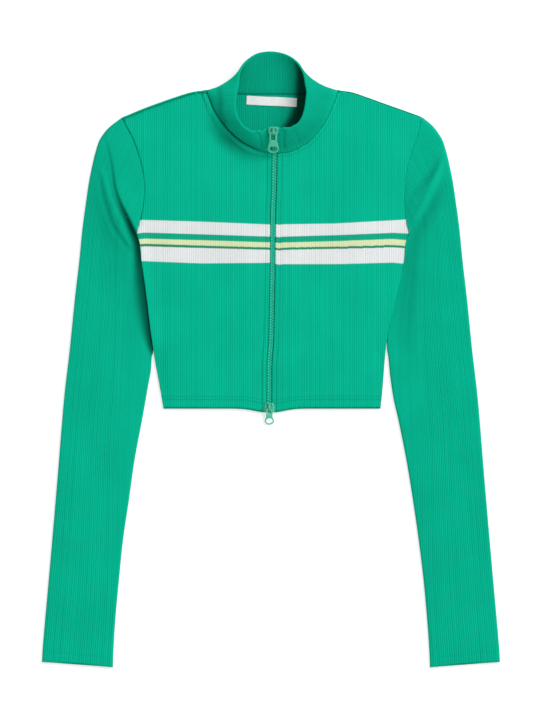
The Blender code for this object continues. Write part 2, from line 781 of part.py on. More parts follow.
def neck_places(count):
    """Places along the neck an even distance apart at the seam."""
    fine = np.linspace(0, len(NECK) - 1, 600)
    seam = collar_surface(fine, 0.4)
    run = np.concatenate([[0], np.cumsum(np.linalg.norm(np.diff(seam, axis=0), axis=1))])
    return np.interp(np.linspace(0, run[-1], count), run, fine), run[-1]


def collar(name, material, home):
    """The doubled stand collar, ribbed outside and folded at its rim."""
    _, length = neck_places(10)
    ribs = 2 * round(length / COLLAR_RIB_PITCH) + 1
    outer_places, _ = neck_places(ribs)
    inner_places, _ = neck_places(COLLAR_INNER_COUNT)
    loft = Loft()
    half = COLLAR / 2
    lift = np.where(np.arange(ribs) % 2 == 1, RIB_HIGH, 0.0)
    steep = spline(NECK, outer_places)[:, 5]
    lift = lift * smoothstep(steep, 0.1, 0.5)
    lift[0] = lift[-1] = 0.0
    outer_rows, inner_rows = [], []
    for share in COLLAR_ROWS:
        ends = share in (0.0, 1.0)
        out = collar_normal(outer_places, share)
        raised = (half + lift * (0.0 if ends else 1.0))[:, None]
        points = collar_surface(outer_places, share) + out * raised
        points[:, 2] = np.maximum(points[:, 2], 0.0)
        outer_rows.append(loft.row(points))
        out = collar_normal(inner_places, share)
        inner_rows.append(loft.row(collar_surface(inner_places, share) - out * half))
    top = collar_surface(outer_places, 1.0)
    rise = top - collar_surface(outer_places, 0.97)
    rise = rise / np.linalg.norm(rise, axis=1)[:, None]
    rim_row = loft.row(top + rise * half * 0.8)
    outer_rows.append(rim_row)
    loft.faces += grid_faces(outer_rows)
    loft.faces += grid_faces(inner_rows)
    a_places, b_places = outer_places / outer_places[-1], inner_places / inner_places[-1]
    loft.faces += stitch(rim_row, inner_rows[-1], a_places, b_places)
    loft.faces += stitch(outer_rows[0], inner_rows[0], a_places, b_places)
    for end in (0, -1):
        a = [row[end] for row in outer_rows]
        b = [row[end] for row in inner_rows]
        loft.faces += [[a[k], b[k], b[k + 1], a[k + 1]] for k in range(len(b) - 1)]
        loft.faces.append([a[-2], b[-1], a[-1]])
    return loft.build(name, material, home)


# Zip

ZIP_BODY_Z = 2.6
ZIP_LOW_Y = -60.6
ZIP_ROWS = 11  # sections between the hem and the neck seam
TAPE_TOP_Y = 232.0  # from here up the tape hides inside the collar's edges
ZIP_TURN_Y = 235.5  # where the chain starts to climb the collar
ZIP_TURN_RISE = 0.2
ZIP_IN_COLLAR = ZIP_HALF - 0.4  # reach of the chain between the collar's edges
# Section of one half: distance from the middle, height over the tape's middle
ZIP_SECTION = (
    (0.2, -0.8),
    (0.2, 1.5),
    (2.0, 1.5),
    (2.3, 0.2),
    (None, 0.2),
    (None, -0.8),
)


def zip_path():
    """Middle of the zip from the hem to the rim: x, y, z, and its reach under the fronts."""
    body = np.linspace(ZIP_LOW_Y, TAPE_TOP_Y, ZIP_ROWS)
    rows = [(zip_x(y), y, ZIP_BODY_Z, TAPE_REACH) for y in body]
    rows.append((zip_x(ZIP_TURN_Y), ZIP_TURN_Y, ZIP_BODY_Z + ZIP_TURN_RISE, ZIP_IN_COLLAR))
    for share in COLLAR_ROWS[1:]:
        ends = [collar_surface(np.array([place]), share)[0] for place in (0, len(NECK) - 1)]
        middle = (ends[0] + ends[1]) / 2
        rows.append((zip_x(middle[1]), middle[1], middle[2], ZIP_IN_COLLAR))
    return np.array(rows)


def zip_half(name, side, material, home):
    """Tape and chain of one side, from the hem up through the collar."""
    path = zip_path()
    loft = Loft()
    rows = []
    for k, (x, y, z, reach) in enumerate(path):
        before, after = path[max(k - 1, 0)], path[min(k + 1, len(path) - 1)]
        run, climb = after[1] - before[1], after[2] - before[2]
        length = math.hypot(run, climb)
        up_y, up_z = -climb / length, run / length
        row = []
        for across, high in ZIP_SECTION:
            across = reach if across is None else across
            row.append((x + side * across, y + up_y * high, z + up_z * high))
        rows.append(loft.row(row))
    loft.faces += grid_faces([row + row[:1] for row in rows])
    loft.faces += [rows[0], rows[-1]]
    return loft.build(name, material, home)


def box(name, size, centre, home, bevel=0.0, segments=2):
    """A block from the cube primitive, with its edges rounded."""
    bpy.ops.mesh.primitive_cube_add(size=1.0)
    made = bpy.context.object
    made.name = name
    made.data.name = name
    for old in made.users_collection:
        old.objects.unlink(made)
    home.objects.link(made)
    for vertex in made.data.vertices:
        vertex.co = Vector([(vertex.co[k] * size[k] + centre[k]) * MM for k in range(3)])
    if bevel:
        rounder = made.modifiers.new("edges", "BEVEL")
        rounder.width = bevel * MM
        rounder.segments = segments
    return made


def join_or_cut(target, other, operation):
    """Adds a Boolean with another object, which is then left out of the model."""
    change = target.modifiers.new(other.name, "BOOLEAN")
    change.operation = operation
    change.object = other
    other.hide_render = True
    other.display_type = "WIRE"


def slider(name, frame, material, home, helpers):
    """A zip slider: a plate on the chain with a bridge that holds the pull."""
    plate = box(name, PLATE, (0, 0, PLATE[2] / 2), home, bevel=PLATE_EDGE)
    core = box(name + "_core", CORE, (0, 0, CORE_RISE), helpers)
    join_or_cut(plate, core, "UNION")
    rise = PLATE[2] + BRIDGE[2] / 2 - BRIDGE_SINK
    bridge = box(name + "_bridge", BRIDGE, (0, 0, rise), helpers, bevel=BRIDGE_EDGE)
    join_or_cut(plate, bridge, "UNION")
    window_z = PLATE[2] + BRIDGE_WINDOW[2] / 2
    window = box(name + "_window", BRIDGE_WINDOW, (0, 0, window_z), helpers)
    join_or_cut(plate, window, "DIFFERENCE")
    plate.data.materials.append(material)
    for each in (plate, core, bridge, window):
        each.parent = frame
    return plate


def rounded(points, steps=5):
    """A closed outline with each corner rounded by its own radius: x, y, radius."""
    result = []
    count = len(points)
    for k, (x, y, radius) in enumerate(points):
        here = Vector((x, y))
        before = Vector(points[k - 1][:2]) - here
        after = Vector(points[(k + 1) % count][:2]) - here
        half = before.angle(after) / 2
        reach = radius / math.tan(half)
        start, end = here + before.normalized() * reach, here + after.normalized() * reach
        for step in range(steps + 1):
            t = step / steps
            result.append(start * (1 - t) ** 2 + here * 2 * t * (1 - t) + end * t**2)
    return result


def oval(centre_y, half_x, half_y, count=20):
    """A closed oval."""
    turns = [2 * math.pi * k / count for k in range(count)]
    return [Vector((half_x * math.cos(a), centre_y + half_y * math.sin(a))) for a in turns]


def plate_object(name, outlines, thick, material, home):
    """A flat plate from an outline and its holes, as a filled curve."""
    data = bpy.data.curves.new(name, "CURVE")
    data.dimensions = "2D"
    data.fill_mode = "BOTH"
    data.extrude = thick / 2 * MM
    for outline in outlines:
        run = data.splines.new("POLY")
        run.points.add(len(outline) - 1)
        for point, place in zip(run.points, outline):
            point.co = (place.x * MM, place.y * MM, 0.0, 1.0)
        run.use_cyclic_u = True
    data.materials.append(material)
    made = bpy.data.objects.new(name, data)
    home.objects.link(made)
    return made


def pull_outline(length, neck, tab):
    """Outline of a pull that hangs towards -Y from its hinge."""
    half_neck, half_tab = neck / 2, tab / 2
    head = PULL_BAR / 2
    right = (
        (half_neck, head, 0.6),
        (half_neck, -PULL_SHOULDER, 2.0),
        (half_tab, PULL_TAB - length, 2.5),
        (half_tab - 0.8, -length, 3.2),
    )
    left = tuple((-x, y, radius) for x, y, radius in right[::-1])
    return rounded(right + left)


def slot_outline():
    """The slot that the bridge's leg passes through."""
    half_x, low = SLOT
    high = -PULL_BAR / 2
    corners = ((half_x, high), (half_x, -low), (-half_x, -low), (-half_x, high))
    return rounded([(x, y, 0.5) for x, y in corners], steps=2)


def hinge_frame(name, location, tilt_deg, home):
    """An empty that carries a slider or a pull."""
    made = bpy.data.objects.new(name, None)
    made.location = Vector(location) * MM
    made.rotation_euler = Euler((math.radians(tilt_deg), 0, 0))
    home.objects.link(made)
    return made


def furniture(which, metal, home, helpers):
    """A slider and its pull, at a place on the chain with its slope."""
    name, y, high, slope_deg, length, neck, tab, hole = which
    foot = (zip_x(y), y, high)
    frame = hinge_frame(name + "_frame", foot, slope_deg, home)
    slider("slider_" + name, frame, metal, home, helpers)
    slope = math.radians(slope_deg)
    back, rise = -HINGE_BACK, PLATE[2] + HINGE_RISE
    at = (
        foot[0],
        foot[1] + back * math.cos(slope) - rise * math.sin(slope),
        foot[2] + back * math.sin(slope) + rise * math.cos(slope),
    )
    outlines = [pull_outline(length, neck, tab), slot_outline(), oval(*hole)]
    pull = plate_object("pull_" + name, outlines, PULL_THICK, metal, home)
    pull.location = Vector(at) * MM
    pull.rotation_euler = Euler((slope + math.radians(PULL_TILT_DEG), 0, 0))


def label(material, home):
    """The blank label sewn inside the back neck."""
    made = box("label", LABEL_SIZE, (0, 0, LABEL_SIZE[2] / 2), home)
    made.location = Vector((LABEL_AT[0], LABEL_AT[1], CLOTH + SEAM)) * MM
    made.rotation_euler = Euler((0, 0, math.radians(LABEL_TURN_DEG)))
    made.data.materials.append(material)


def build():
    """Makes the whole jacket."""
    clear_scene()
    home, helpers = collection("zip_jacket"), collection("cutters")
    knit = finish("rib_knit", GREEN, 0.85)
    dark_knit = finish("rib_knit_inside", GREEN_DARK, 0.9)
    tape = finish("zip_tape", GREEN_DARK, 0.7)
    white = finish("label_satin", WHITE, 0.6)
    metal = finish("painted_metal", PULL_GREEN, 0.4, 0.3)
    back("back", dark_knit, home)
    for side, name in ((-1, "right"), (1, "left")):
        front("front_" + name, side, knit, home)
        sleeve("sleeve_" + name, side, knit, home)
        zip_half("zip_" + name, side, tape, home)
    collar("collar", knit, home)
    label(white, home)
    for which in SLIDERS:
        furniture(which, metal, home, helpers)


build()
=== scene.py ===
"""The finish of a cropped rib-knit zip jacket that lies flat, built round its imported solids.

Sizes are in millimetres until a mesh is written. The hem is towards -Y, the collar towards
+Y and the fronts face up. Pieces are named for the wearer's sides: the right one is at -X.
"""

from __future__ import annotations

import logging
import math
import sys
from collections.abc import Iterator
from contextlib import contextmanager
from dataclasses import dataclass, field
from enum import Enum

import bmesh
import bpy
import numpy as np
from mathutils import Matrix, Vector
from mathutils.geometry import delaunay_2d_cdt


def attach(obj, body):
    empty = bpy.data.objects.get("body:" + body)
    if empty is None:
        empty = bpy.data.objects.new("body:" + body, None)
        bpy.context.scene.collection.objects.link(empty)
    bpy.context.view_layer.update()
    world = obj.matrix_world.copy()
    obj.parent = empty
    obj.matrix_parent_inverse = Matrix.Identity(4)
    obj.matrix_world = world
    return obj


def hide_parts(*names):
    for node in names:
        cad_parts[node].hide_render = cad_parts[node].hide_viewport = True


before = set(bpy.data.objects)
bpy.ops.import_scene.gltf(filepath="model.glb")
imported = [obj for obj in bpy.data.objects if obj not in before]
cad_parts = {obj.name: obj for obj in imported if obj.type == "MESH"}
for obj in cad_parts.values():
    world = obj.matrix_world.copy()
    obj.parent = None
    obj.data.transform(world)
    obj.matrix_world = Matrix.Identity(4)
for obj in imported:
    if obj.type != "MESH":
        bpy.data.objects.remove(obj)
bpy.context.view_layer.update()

Array = np.ndarray
Line = Array | list | tuple
Colour = tuple[float, float, float]
Socket = bpy.types.NodeSocket
Piece = bpy.types.Object
Finish = bpy.types.Material
MM = 0.001
RIB_PITCH = 2.5
GARMENT = "garment"
log = logging.getLogger("jacket")


class Side(Enum):
    """The wearer's sides, by the sign of x."""

    RIGHT = -1
    LEFT = 1

    @property
    def word(self) -> str:
        """The side's name in pieces."""
        return self.name.lower()

    def pick(self, right: object, left: object) -> object:
        """The value that belongs to this side."""
        return right if self is Side.RIGHT else left


# Curves and fields


def smoothstep(value: Array | float, low: Array | float, high: Array | float) -> Array:
    """A smooth ramp of a value, from 0 at low to 1 at high."""
    share = np.clip((np.asarray(value, float) - low) / (high - low), 0.0, 1.0)
    return share * share * (3.0 - 2.0 * share)


def window(value: Array | float, low: float, full: float, fade: float, end: float) -> Array:
    """A smooth ramp from low to full, and one back to 0 from fade to end."""
    return smoothstep(value, low, full) * (1.0 - smoothstep(value, fade, end))


def bell(distance: Array, width: Array | float) -> Array:
    """A soft bump: 1 on the line, fading over the width."""
    return np.exp(-((distance / width) ** 2))


def shaded(*shades: Array | float) -> Array:
    """Several shades laid over each other, each from 0, none, to 1, black."""
    light = 1.0
    for shade in shades:
        light = light * (1.0 - shade)
    return 1.0 - light


def spline(knots: Line, places: Array) -> Array:
    """A smooth curve through rows of numbers.

    Args:
        knots: The rows.
        places: Places along them, counted in knots.

    Returns:
        The curve's rows at those places.
    """
    rows = np.asarray(knots, float)
    padded = np.vstack([2 * rows[0] - rows[1], rows, 2 * rows[-1] - rows[-2]])
    places = np.clip(np.asarray(places, float), 0.0, len(rows) - 1.0)
    first = np.minimum(places.astype(int), len(rows) - 2)
    t = (places - first)[:, None]
    a, b, c, d = (padded[first + k] for k in range(4))
    cubic = (2 * a - 5 * b + 4 * c - d) * t**2 + (3 * b - a - 3 * c + d) * t**3
    return 0.5 * (2 * b + (c - a) * t + cubic)


def run_of(points: Array) -> Array:
    """The distance run along a line at each of its points."""
    return np.concatenate([[0], np.cumsum(np.linalg.norm(np.diff(points, axis=0), axis=1))])


def sample(line: Array, run: Array, wanted: Array | float) -> Array:
    """A line's points at wanted distances along it."""
    return np.stack([np.interp(wanted, run, column) for column in line.T], axis=-1)


def even_path(knots: Line, spacing: float = 0.0, count: int = 0) -> Array:
    """A smooth line with points an even distance apart.

    Args:
        knots: What the line passes through.
        spacing: The wanted distance, if count isn't given.
        count: The number of points.

    Returns:
        The line's points.
    """
    fine = spline(knots, np.linspace(0, len(knots) - 1, 40 * len(knots)))
    run = run_of(fine)
    count = count or max(2, round(run[-1] / spacing) + 1)
    return sample(fine, run, np.linspace(0, run[-1], count))


def sideways(line: Array) -> Array:
    """Unit steps to the right of a line in plan, at each of its points."""
    run = np.gradient(line, axis=0)
    run = run / np.linalg.norm(run, axis=1)[:, None]
    return np.stack([run[:, 1], -run[:, 0]], axis=1)


def off_line(points: Array, line: Line) -> tuple[Array, Array]:
    """How far points are from a line, and where they are along it.

    Args:
        points: Places in plan.
        line: The line's points.

    Returns:
        The distance, above zero to the left of the line's direction, and the place from 0 to
        the last knot's number.
    """
    line = np.asarray(line, float)
    best = np.full(len(points), np.inf)
    place, sign = np.zeros(len(points)), np.ones(len(points))
    for k, (a, b) in enumerate(zip(line[:-1], line[1:])):
        along = b - a
        share = np.clip((points - a) @ along / (along @ along), 0.0, 1.0)
        gap = points - a - share[:, None] * along
        far = np.hypot(gap[:, 0], gap[:, 1])
        near = far < best
        best = np.where(near, far, best)
        place = np.where(near, k + share, place)
        left = along[0] * gap[:, 1] - along[1] * gap[:, 0]
        sign = np.where(near, np.where(left >= 0, 1.0, -1.0), sign)
    return best * sign, place


def from_line(points: Array, line: Line) -> Array:
    """How far points are from a line, on either side of it."""
    return np.abs(off_line(points, line)[0])


def waves(points: Array, terms: tuple[tuple[float, float, float, float], ...]) -> Array:
    """A gentle, uneven swell.

    Args:
        points: Places in plan.
        terms: Height, wave number along x, wave number along y and phase of each wave.

    Returns:
        The swell's height at each place.
    """
    total = np.zeros(len(points))
    for high, kx, ky, phase in terms:
        total += high * np.sin(points[:, 0] * kx + points[:, 1] * ky + phase)
    return total


# The jacket's cut as it lies


@dataclass(frozen=True)
class Cut:
    """Outlines in plan, and the thicknesses that all pieces share."""

    cloth: float = 1.4
    seam: float = 0.3
    air: float = 1.6
    zip_half: float = 3.15
    hem_y: float = -56.6
    hem_dip: tuple[float, float] = (4.4, 19.0)  # depth and half width of the dip at the zip
    shoulder_lip: tuple[float, float] = (2.3, 1.0)  # right, left
    # How the cloth lies inside the solids, right and left: how far beside the sleeve and at the
    # shoulder, what share of the latter ends before the sleeve, and where the former starts
    inset: tuple[tuple[float, ...], ...] = ((1.6, 1.9, 0.0, 158.0), (2.7, 2.7, 0.5, 174.0))
    shoulder_fade: tuple[float, ...] = (84.0, 126.0, 138.0, 172.0)  # distances from the middle
    shoulder_rise: tuple[float, float] = (240.0, 280.0)
    aside_span: float = 24.0
    beside_body: float = -6.0  # above this height the sleeve keeps clear of the body's edge
    tuck_depth: float = 1.4
    tuck_span: tuple[float, ...] = (0.0, 16.0, 133.0, 146.0)
    # Left and right edges of the chest: y, x of the right side, x of the left
    armhole: tuple = (
        (278.0, -170.2, 172.6), (269.7, -167.3, 170.6), (255.9, -160.4, 167.6),
        (238.6, -154.0, 161.6), (220.2, -148.9, 156.4), (200.7, -146.2, 153.6),
        (182.3, -147.2, 152.9), (161.6, -151.0, 154.8), (145.5, -155.4, 158.6),
    )  # fmt: skip
    side_seam: tuple = (
        (145.5, -155.4, 158.6), (137.5, -152.9, 155.9), (129.4, -151.2, 154.0),
        (113.3, -149.6, 152.7), (90.3, -146.2, 148.2), (62.7, -142.6, 142.0),
        (47.6, -140.8, 138.4), (30.5, -138.7, 134.4), (11.5, -136.0, 131.4),
        (-3.4, -133.6, 130.1), (-35.0, -127.8, 127.6), (-56.6, -124.2, 125.4),
    )  # fmt: skip
    # Silhouette above the shoulder seam, for one side: distance from the middle, y
    shoulder: tuple = (
        (173.6, 280.0), (161.6, 284.6), (150.6, 289.2), (138.6, 293.8),
        (125.9, 298.4), (111.0, 303.0), (93.0, 307.4), (78.2, 309.4),
    )  # fmt: skip
    # The sleeve's outer fold, for one side: distance from the middle, y
    outer_fold: tuple = (
        (174.0, 279.6), (185.7, 270.8), (193.0, 263.0), (199.5, 252.4), (203.2, 240.9),
        (206.2, 229.4), (211.0, 206.4), (214.5, 183.4), (219.1, 148.9), (222.5, 114.4),
        (227.8, 68.4), (233.6, 10.9), (240.2, -46.6), (247.8, -138.6), (255.7, -230.6),
        (263.9, -322.6), (265.5, -347.8),
    )  # fmt: skip
    # The sleeve's inner edge: y, x of the right sleeve, x of the left
    inner_edge: tuple = (
        (145.5, -155.7, 158.9), (137.5, -153.2, 156.2), (129.4, -151.5, 154.3),
        (113.3, -149.9, 153.0), (90.3, -146.5, 148.5), (62.7, -142.9, 142.3),
        (30.5, -139.2, 134.9), (9.2, -136.7, 133.9), (3.0, -137.7, 134.4),
        (-12.6, -138.5, 135.8), (-23.6, -140.5, 137.0), (-46.6, -144.6, 140.6),
        (-69.6, -148.7, 145.9), (-115.6, -157.3, 155.1), (-161.6, -163.8, 162.6),
        (-207.6, -170.6, 169.2), (-253.6, -175.3, 174.8), (-299.6, -179.5, 179.0),
        (-334.1, -181.6, 181.4), (-353.9, -182.2, 182.2),
    )  # fmt: skip
    # The zip's middle line: y, x
    zip_line: tuple = (
        (266.7, 1.9), (238.0, 3.6), (194.9, 2.9), (168.5, 1.6),
        (101.8, 1.2), (22.4, -0.3), (-2.0, -2.3), (-62.0, -2.5),
    )  # fmt: skip
    # Neck seam and collar rim from the right front round the back to the left front:
    # seam x, seam y, rim x, rim y, rim height, share of the steep front shape
    neck: tuple = (
        (0.45, 238.0, -1.6, 266.4, 26.0, 1.0), (-11.0, 239.8, -9.5, 263.6, 26.0, 1.0),
        (-21.5, 243.2, -16.5, 261.8, 26.5, 1.0), (-33.9, 250.1, -24.6, 262.6, 27.0, 1.0),
        (-45.8, 260.1, -31.5, 266.9, 28.0, 1.0), (-56.3, 272.0, -36.6, 273.4, 29.0, 1.0),
        (-65.7, 286.0, -40.4, 282.4, 29.0, 0.95), (-70.6, 297.3, -41.6, 291.6, 29.0, 0.85),
        (-73.6, 304.6, -40.6, 304.0, 28.5, 0.75), (-73.4, 308.4, -38.2, 317.0, 27.0, 0.6),
        (-66.0, 308.6, -37.4, 326.4, 25.0, 0.4), (-53.0, 306.8, -35.0, 333.6, 22.0, 0.2),
        (-38.0, 305.2, -28.4, 342.4, 18.0, 0.05), (-19.0, 305.0, -16.2, 350.6, 14.0, 0.0),
        (0.0, 305.0, 0.0, 352.9, 12.5, 0.0), (19.0, 305.0, 16.4, 349.6, 14.0, 0.0),
        (38.0, 305.2, 28.2, 342.0, 18.0, 0.05), (54.0, 306.8, 34.8, 333.0, 22.0, 0.2),
        (67.5, 308.6, 37.8, 325.2, 25.0, 0.4), (75.2, 308.4, 39.4, 315.2, 27.0, 0.6),
        (75.2, 304.6, 40.8, 307.0, 28.5, 0.75), (72.2, 296.2, 40.0, 297.5, 29.0, 0.85),
        (68.2, 286.2, 38.4, 287.5, 29.0, 0.95), (61.8, 273.8, 35.6, 278.2, 29.0, 1.0),
        (54.0, 262.9, 31.6, 271.8, 28.0, 1.0), (45.0, 252.6, 26.0, 267.6, 27.0, 1.0),
        (32.0, 243.6, 18.6, 265.4, 26.5, 1.0), (20.0, 238.6, 12.0, 265.4, 26.0, 1.0),
        (6.75, 237.0, 5.3, 266.4, 26.0, 1.0),
    )  # fmt: skip
    neck_knots: int = 9  # knots of the neck on each front
    back_neck: tuple = (
        (78.0, 309.6), (73.0, 310.2), (66.0, 309.4), (53.0, 307.6), (38.0, 305.9), (12.0, 305.7),
    )  # fmt: skip
    # Edge of the shadow inside the neck, under the left wall of the collar
    cavity: tuple = (
        (24.0, 350.0), (26.5, 333.0), (26.0, 314.0), (24.5, 300.0),
        (20.5, 286.0), (15.5, 276.0), (10.0, 267.0),
    )  # fmt: skip
    cavity_edge: tuple[float, float] = (-1.5, 7.0)
    cavity_dark: tuple[float, float] = (0.12, 0.76)  # outside it, and what more inside it

    def settled(self, rows: list, side: Side, aside: float) -> Array:
        """Points of one side, lowered at the shoulder and drawn in beside the sleeve."""
        points = np.array(rows, float)
        out = np.abs(points[:, 0])
        _, below, ended, start = side.pick(*self.inset)
        near, full, fade, end = self.shoulder_fade
        below = below * smoothstep(out, near, full) * (1.0 - ended * smoothstep(out, fade, end))
        points[:, 1] -= below * smoothstep(points[:, 1], *self.shoulder_rise)
        points[:, 0] -= side.value * aside * smoothstep(out, start, start + self.aside_span)
        return points

    def sided(self, table: tuple, side: Side) -> Array:
        """A table of y and two x values as points of one side."""
        return self.settled([(side.pick(*row[1:]), row[0]) for row in table], side, 0.0)

    def mirrored(self, table: tuple, side: Side) -> Array:
        """A table of distances from the middle and y as points of one side."""
        rows = [(side.value * row[0], row[1]) for row in table]
        return self.settled(rows, side, side.pick(*self.inset)[0])

    def zip_x(self, y: Array | float) -> Array:
        """x of the zip's middle at a height."""
        line = np.array(self.zip_line[::-1])
        return np.interp(y, line[:, 0], line[:, 1])

    def edge_x(self, y: Array, side: Side) -> Array:
        """x of the body's edge beside a sleeve."""
        tables = (self.armhole, self.side_seam)
        edge = np.vstack([even_path(self.sided(table, side), count=121) for table in tables])
        return np.interp(y, edge[::-1, 1], edge[::-1, 0])

    def tuck(self, y: Array) -> Array:
        """How far the body's lower layers lie back from its edge, over the sleeve's fold."""
        return self.tuck_depth * window(y, *self.tuck_span)

    def front_neck(self, side: Side) -> list[tuple[float, float]]:
        """The front's neck seam, from the zip to the shoulder."""
        half = self.neck[:: -side.value][: self.neck_knots]
        return [row[:2] for row in half]

    def cavity_shade(self, points: Array) -> Array:
        """How dark the painted shadow inside the neck is at places in plan."""
        far = off_line(points, even_path(self.cavity, count=40))[0]
        return self.cavity_dark[0] + self.cavity_dark[1] * smoothstep(far, *self.cavity_edge)

    def front_hem(self, x: Array, side: Side) -> Array:
        """y of the front's hem, which dips at the zip."""
        middle = self.zip_x(self.hem_y) + side.value * self.zip_half
        return self.hem_y - self.hem_dip[0] * bell(x - middle, self.hem_dip[1])


CUT = Cut()


# Finishes


class Bench:
    """Adds and joins the nodes of one material."""

    def __init__(self, name: str) -> None:
        """Starts a material of this name, with a Principled shader."""
        self.material = bpy.data.materials.new(name)
        self.material.use_nodes = True
        self.tree = self.material.node_tree
        self.shader = self.tree.nodes["Principled BSDF"]

    def add(self, kind: str, *values: object, **settings: object) -> bpy.types.Node:
        """A new node.

        Args:
            kind: Its type, without the leading word that all shader nodes share.
            values: What its first inputs get.
            settings: Its properties.

        Returns:
            The node.
        """
        node = self.tree.nodes.new("ShaderNode" + kind)
        for key, value in settings.items():
            setattr(node, key, value)
        for socket, value in zip(node.inputs, values):
            self.feed(socket, value)
        return node

    def feed(self, socket: Socket, value: object) -> None:
        """Gives an input a number, a colour or another node's output."""
        if isinstance(value, Socket):
            self.tree.links.new(value, socket)
        else:
            socket.default_value = value

    def set(self, **values: object) -> None:
        """Sets the shader's inputs, named with underscores for spaces."""
        for key, value in values.items():
            self.feed(self.shader.inputs[key.replace("_", " ")], value)

    def math(self, operation: str, *values: object) -> Socket:
        """A Math node's result."""
        return self.add("Math", *values, operation=operation).outputs[0]

    def ramp(self, value: object, low: float, high: float) -> Socket:
        """A smooth ramp of a value, from 0 at low to 1 at high."""
        return self.add("MapRange", value, low, high, interpolation_type="SMOOTHSTEP").outputs[0]

    def mix(self, share: object, a: object, b: object, blend: str = "MIX") -> Socket:
        """A blend of two colours, with a share of the second."""
        node = self.add("Mix", share, data_type="RGBA", blend_type=blend)
        self.feed(node.inputs[6], a)
        self.feed(node.inputs[7], b)
        return node.outputs[2]

    def tint(self, share: object, colour: object, by: Colour) -> Socket:
        """A colour that is multiplied with another, by a share."""
        return self.mix(share, colour, self.mix(1.0, colour, opaque(by), "MULTIPLY"))

    def paint(self, share: object, a: Colour, b: Colour) -> None:
        """Gives the shader a blend of two colours, with a share of the second."""
        self.set(Base_Color=self.mix(share, opaque(a), opaque(b)))

    def noise(self, scale: float, detail: float = 2.0) -> Socket:
        """Noise in the object's own space."""
        node = self.add("TexNoise", self.add("TexCoord").outputs["Object"])
        self.feed(node.inputs["Scale"], scale)
        self.feed(node.inputs["Detail"], detail)
        return node.outputs["Fac"]

    def threads(self, axis: int, number: float) -> Socket:
        """Fine waves across the object's own x or y."""
        place = self.add("SeparateXYZ", self.add("TexCoord").outputs["Object"])
        return self.math("SINE", self.math("MULTIPLY", place.outputs[axis], number))

    def field(self, name: str) -> Socket:
        """A named number that each point of the mesh holds."""
        return self.add("Attribute", attribute_name=name).outputs["Fac"]

    def bump(self, height: object, distance: float, strength: float) -> None:
        """Puts a relief on the shader's normal."""
        node = self.add("Bump")
        values = {"Height": height, "Distance": distance, "Strength": strength}
        for key, value in values.items():
            self.feed(node.inputs[key], value)
        self.set(Normal=node.outputs["Normal"])


def opaque(colour: Colour) -> tuple[float, float, float, float]:
    """A colour with full opacity."""
    return (*colour, 1.0)


# Edges of the chest's stripes, from the highest down
STRIPE_HEIGHTS = (160.5, 145.6, 138.7, 132.9, 129.9, 113.2)


@dataclass(frozen=True)
class KnitFinish:
    """Rib knit: its colour, its stitches and the painted shade in its hollows."""

    name: str
    colour: Colour
    striped: bool = False
    # What the colour is multiplied by where the painted shade is full
    shade: Colour = (0.10, 0.055, 0.05)
    darker: Colour = (0.93, 0.94, 0.93)
    lighter: Colour = (1.07, 1.05, 1.06)
    sheen: Colour = (0.05, 0.8, 0.6)
    white: Colour = (0.74, 0.77, 0.775)
    yellow: Colour = (0.685, 0.765, 0.455)
    line: Colour = (0.03, 0.285, 0.15)
    between: Colour = (0.008, 0.415, 0.25)
    above: tuple[str, ...] = ("colour", "white", "between", "yellow", "line", "white")
    ramp_span: tuple[float, float] = (105.0, 169.0)
    edge: float = 0.35
    zigzag: float = 0.22
    course: float = 1.45  # height of one stitch
    slant: float = 1.1
    white_shade: float = -0.7  # what the hollows' shade loses in the white stripes
    uv_scale: float = 100.0

    def stripe_colour(self, bench: Bench, from_middle: Socket) -> Socket:
        """The stripes' colour at each height on the chest.

        Args:
            bench: The material.
            from_middle: How far each place is from a rib's middle.

        Returns:
            The colour's output.
        """
        low, high = self.ramp_span
        height = bench.math("MULTIPLY_ADD", from_middle, self.zigzag, bench.field("chest"))
        share = bench.math("DIVIDE", bench.math("SUBTRACT", height, low), high - low)
        node = bench.add("ValToRGB", share)
        elements = node.color_ramp.elements
        elements[0].color = elements[1].color = opaque(self.colour)
        below = "colour"
        for y, above in zip(STRIPE_HEIGHTS[::-1], self.above[::-1]):
            for place, key in ((y - self.edge, below), (y + self.edge, above)):
                elements.new((place - low) / (high - low)).color = opaque(getattr(self, key))
            below = above
        return node.outputs[0]

    def make(self) -> Finish:
        """The material."""
        bench = Bench(self.name)
        place = bench.add("SeparateXYZ", bench.add("UVMap", uv_map="knit").outputs[0])
        across, along = (bench.math("MULTIPLY", place.outputs[k], self.uv_scale) for k in (0, 1))
        from_middle = bench.math("PINGPONG", across, RIB_PITCH / 2)
        # Painted shade: each point's painted_shade darkens the colour where creases, seams, rib valleys
        # and the collar's shadows fall
        painted_shade = bench.field("painted_shade")
        colour = self.stripe_colour(bench, from_middle) if self.striped else opaque(self.colour)
        colour = bench.tint(bench.ramp(bench.noise(22.0, 3.0), 0.3, 0.7), colour, self.darker)
        colour = bench.tint(bench.ramp(bench.noise(900.0), 0.35, 0.75), colour, self.lighter)
        # The painted shade is weaker in the white stripes
        if self.striped:
            red = bench.add("SeparateColor", colour).outputs[0]
            less = bench.math("MULTIPLY_ADD", red, self.white_shade, 1.0)
            painted_shade = bench.math("MULTIPLY", painted_shade, less)
        colour = bench.tint(painted_shade, colour, self.shade)
        slanted = bench.math("MULTIPLY_ADD", from_middle, self.slant, along)
        turn = bench.math("MULTIPLY", slanted, 2 * math.pi / self.course)
        stitch = bench.math("MULTIPLY_ADD", bench.math("SINE", turn), 0.5, 0.5)
        fuzz = bench.math("MULTIPLY_ADD", bench.noise(2600.0), 0.7, stitch)
        bench.bump(fuzz, 0.00012, 0.55)
        bench.set(Base_Color=colour, Roughness=0.92, Specular_IOR_Level=0.025)
        bench.set(Sheen_Weight=0.05, Sheen_Roughness=0.5, Sheen_Tint=opaque(self.sheen))
        return bench.material


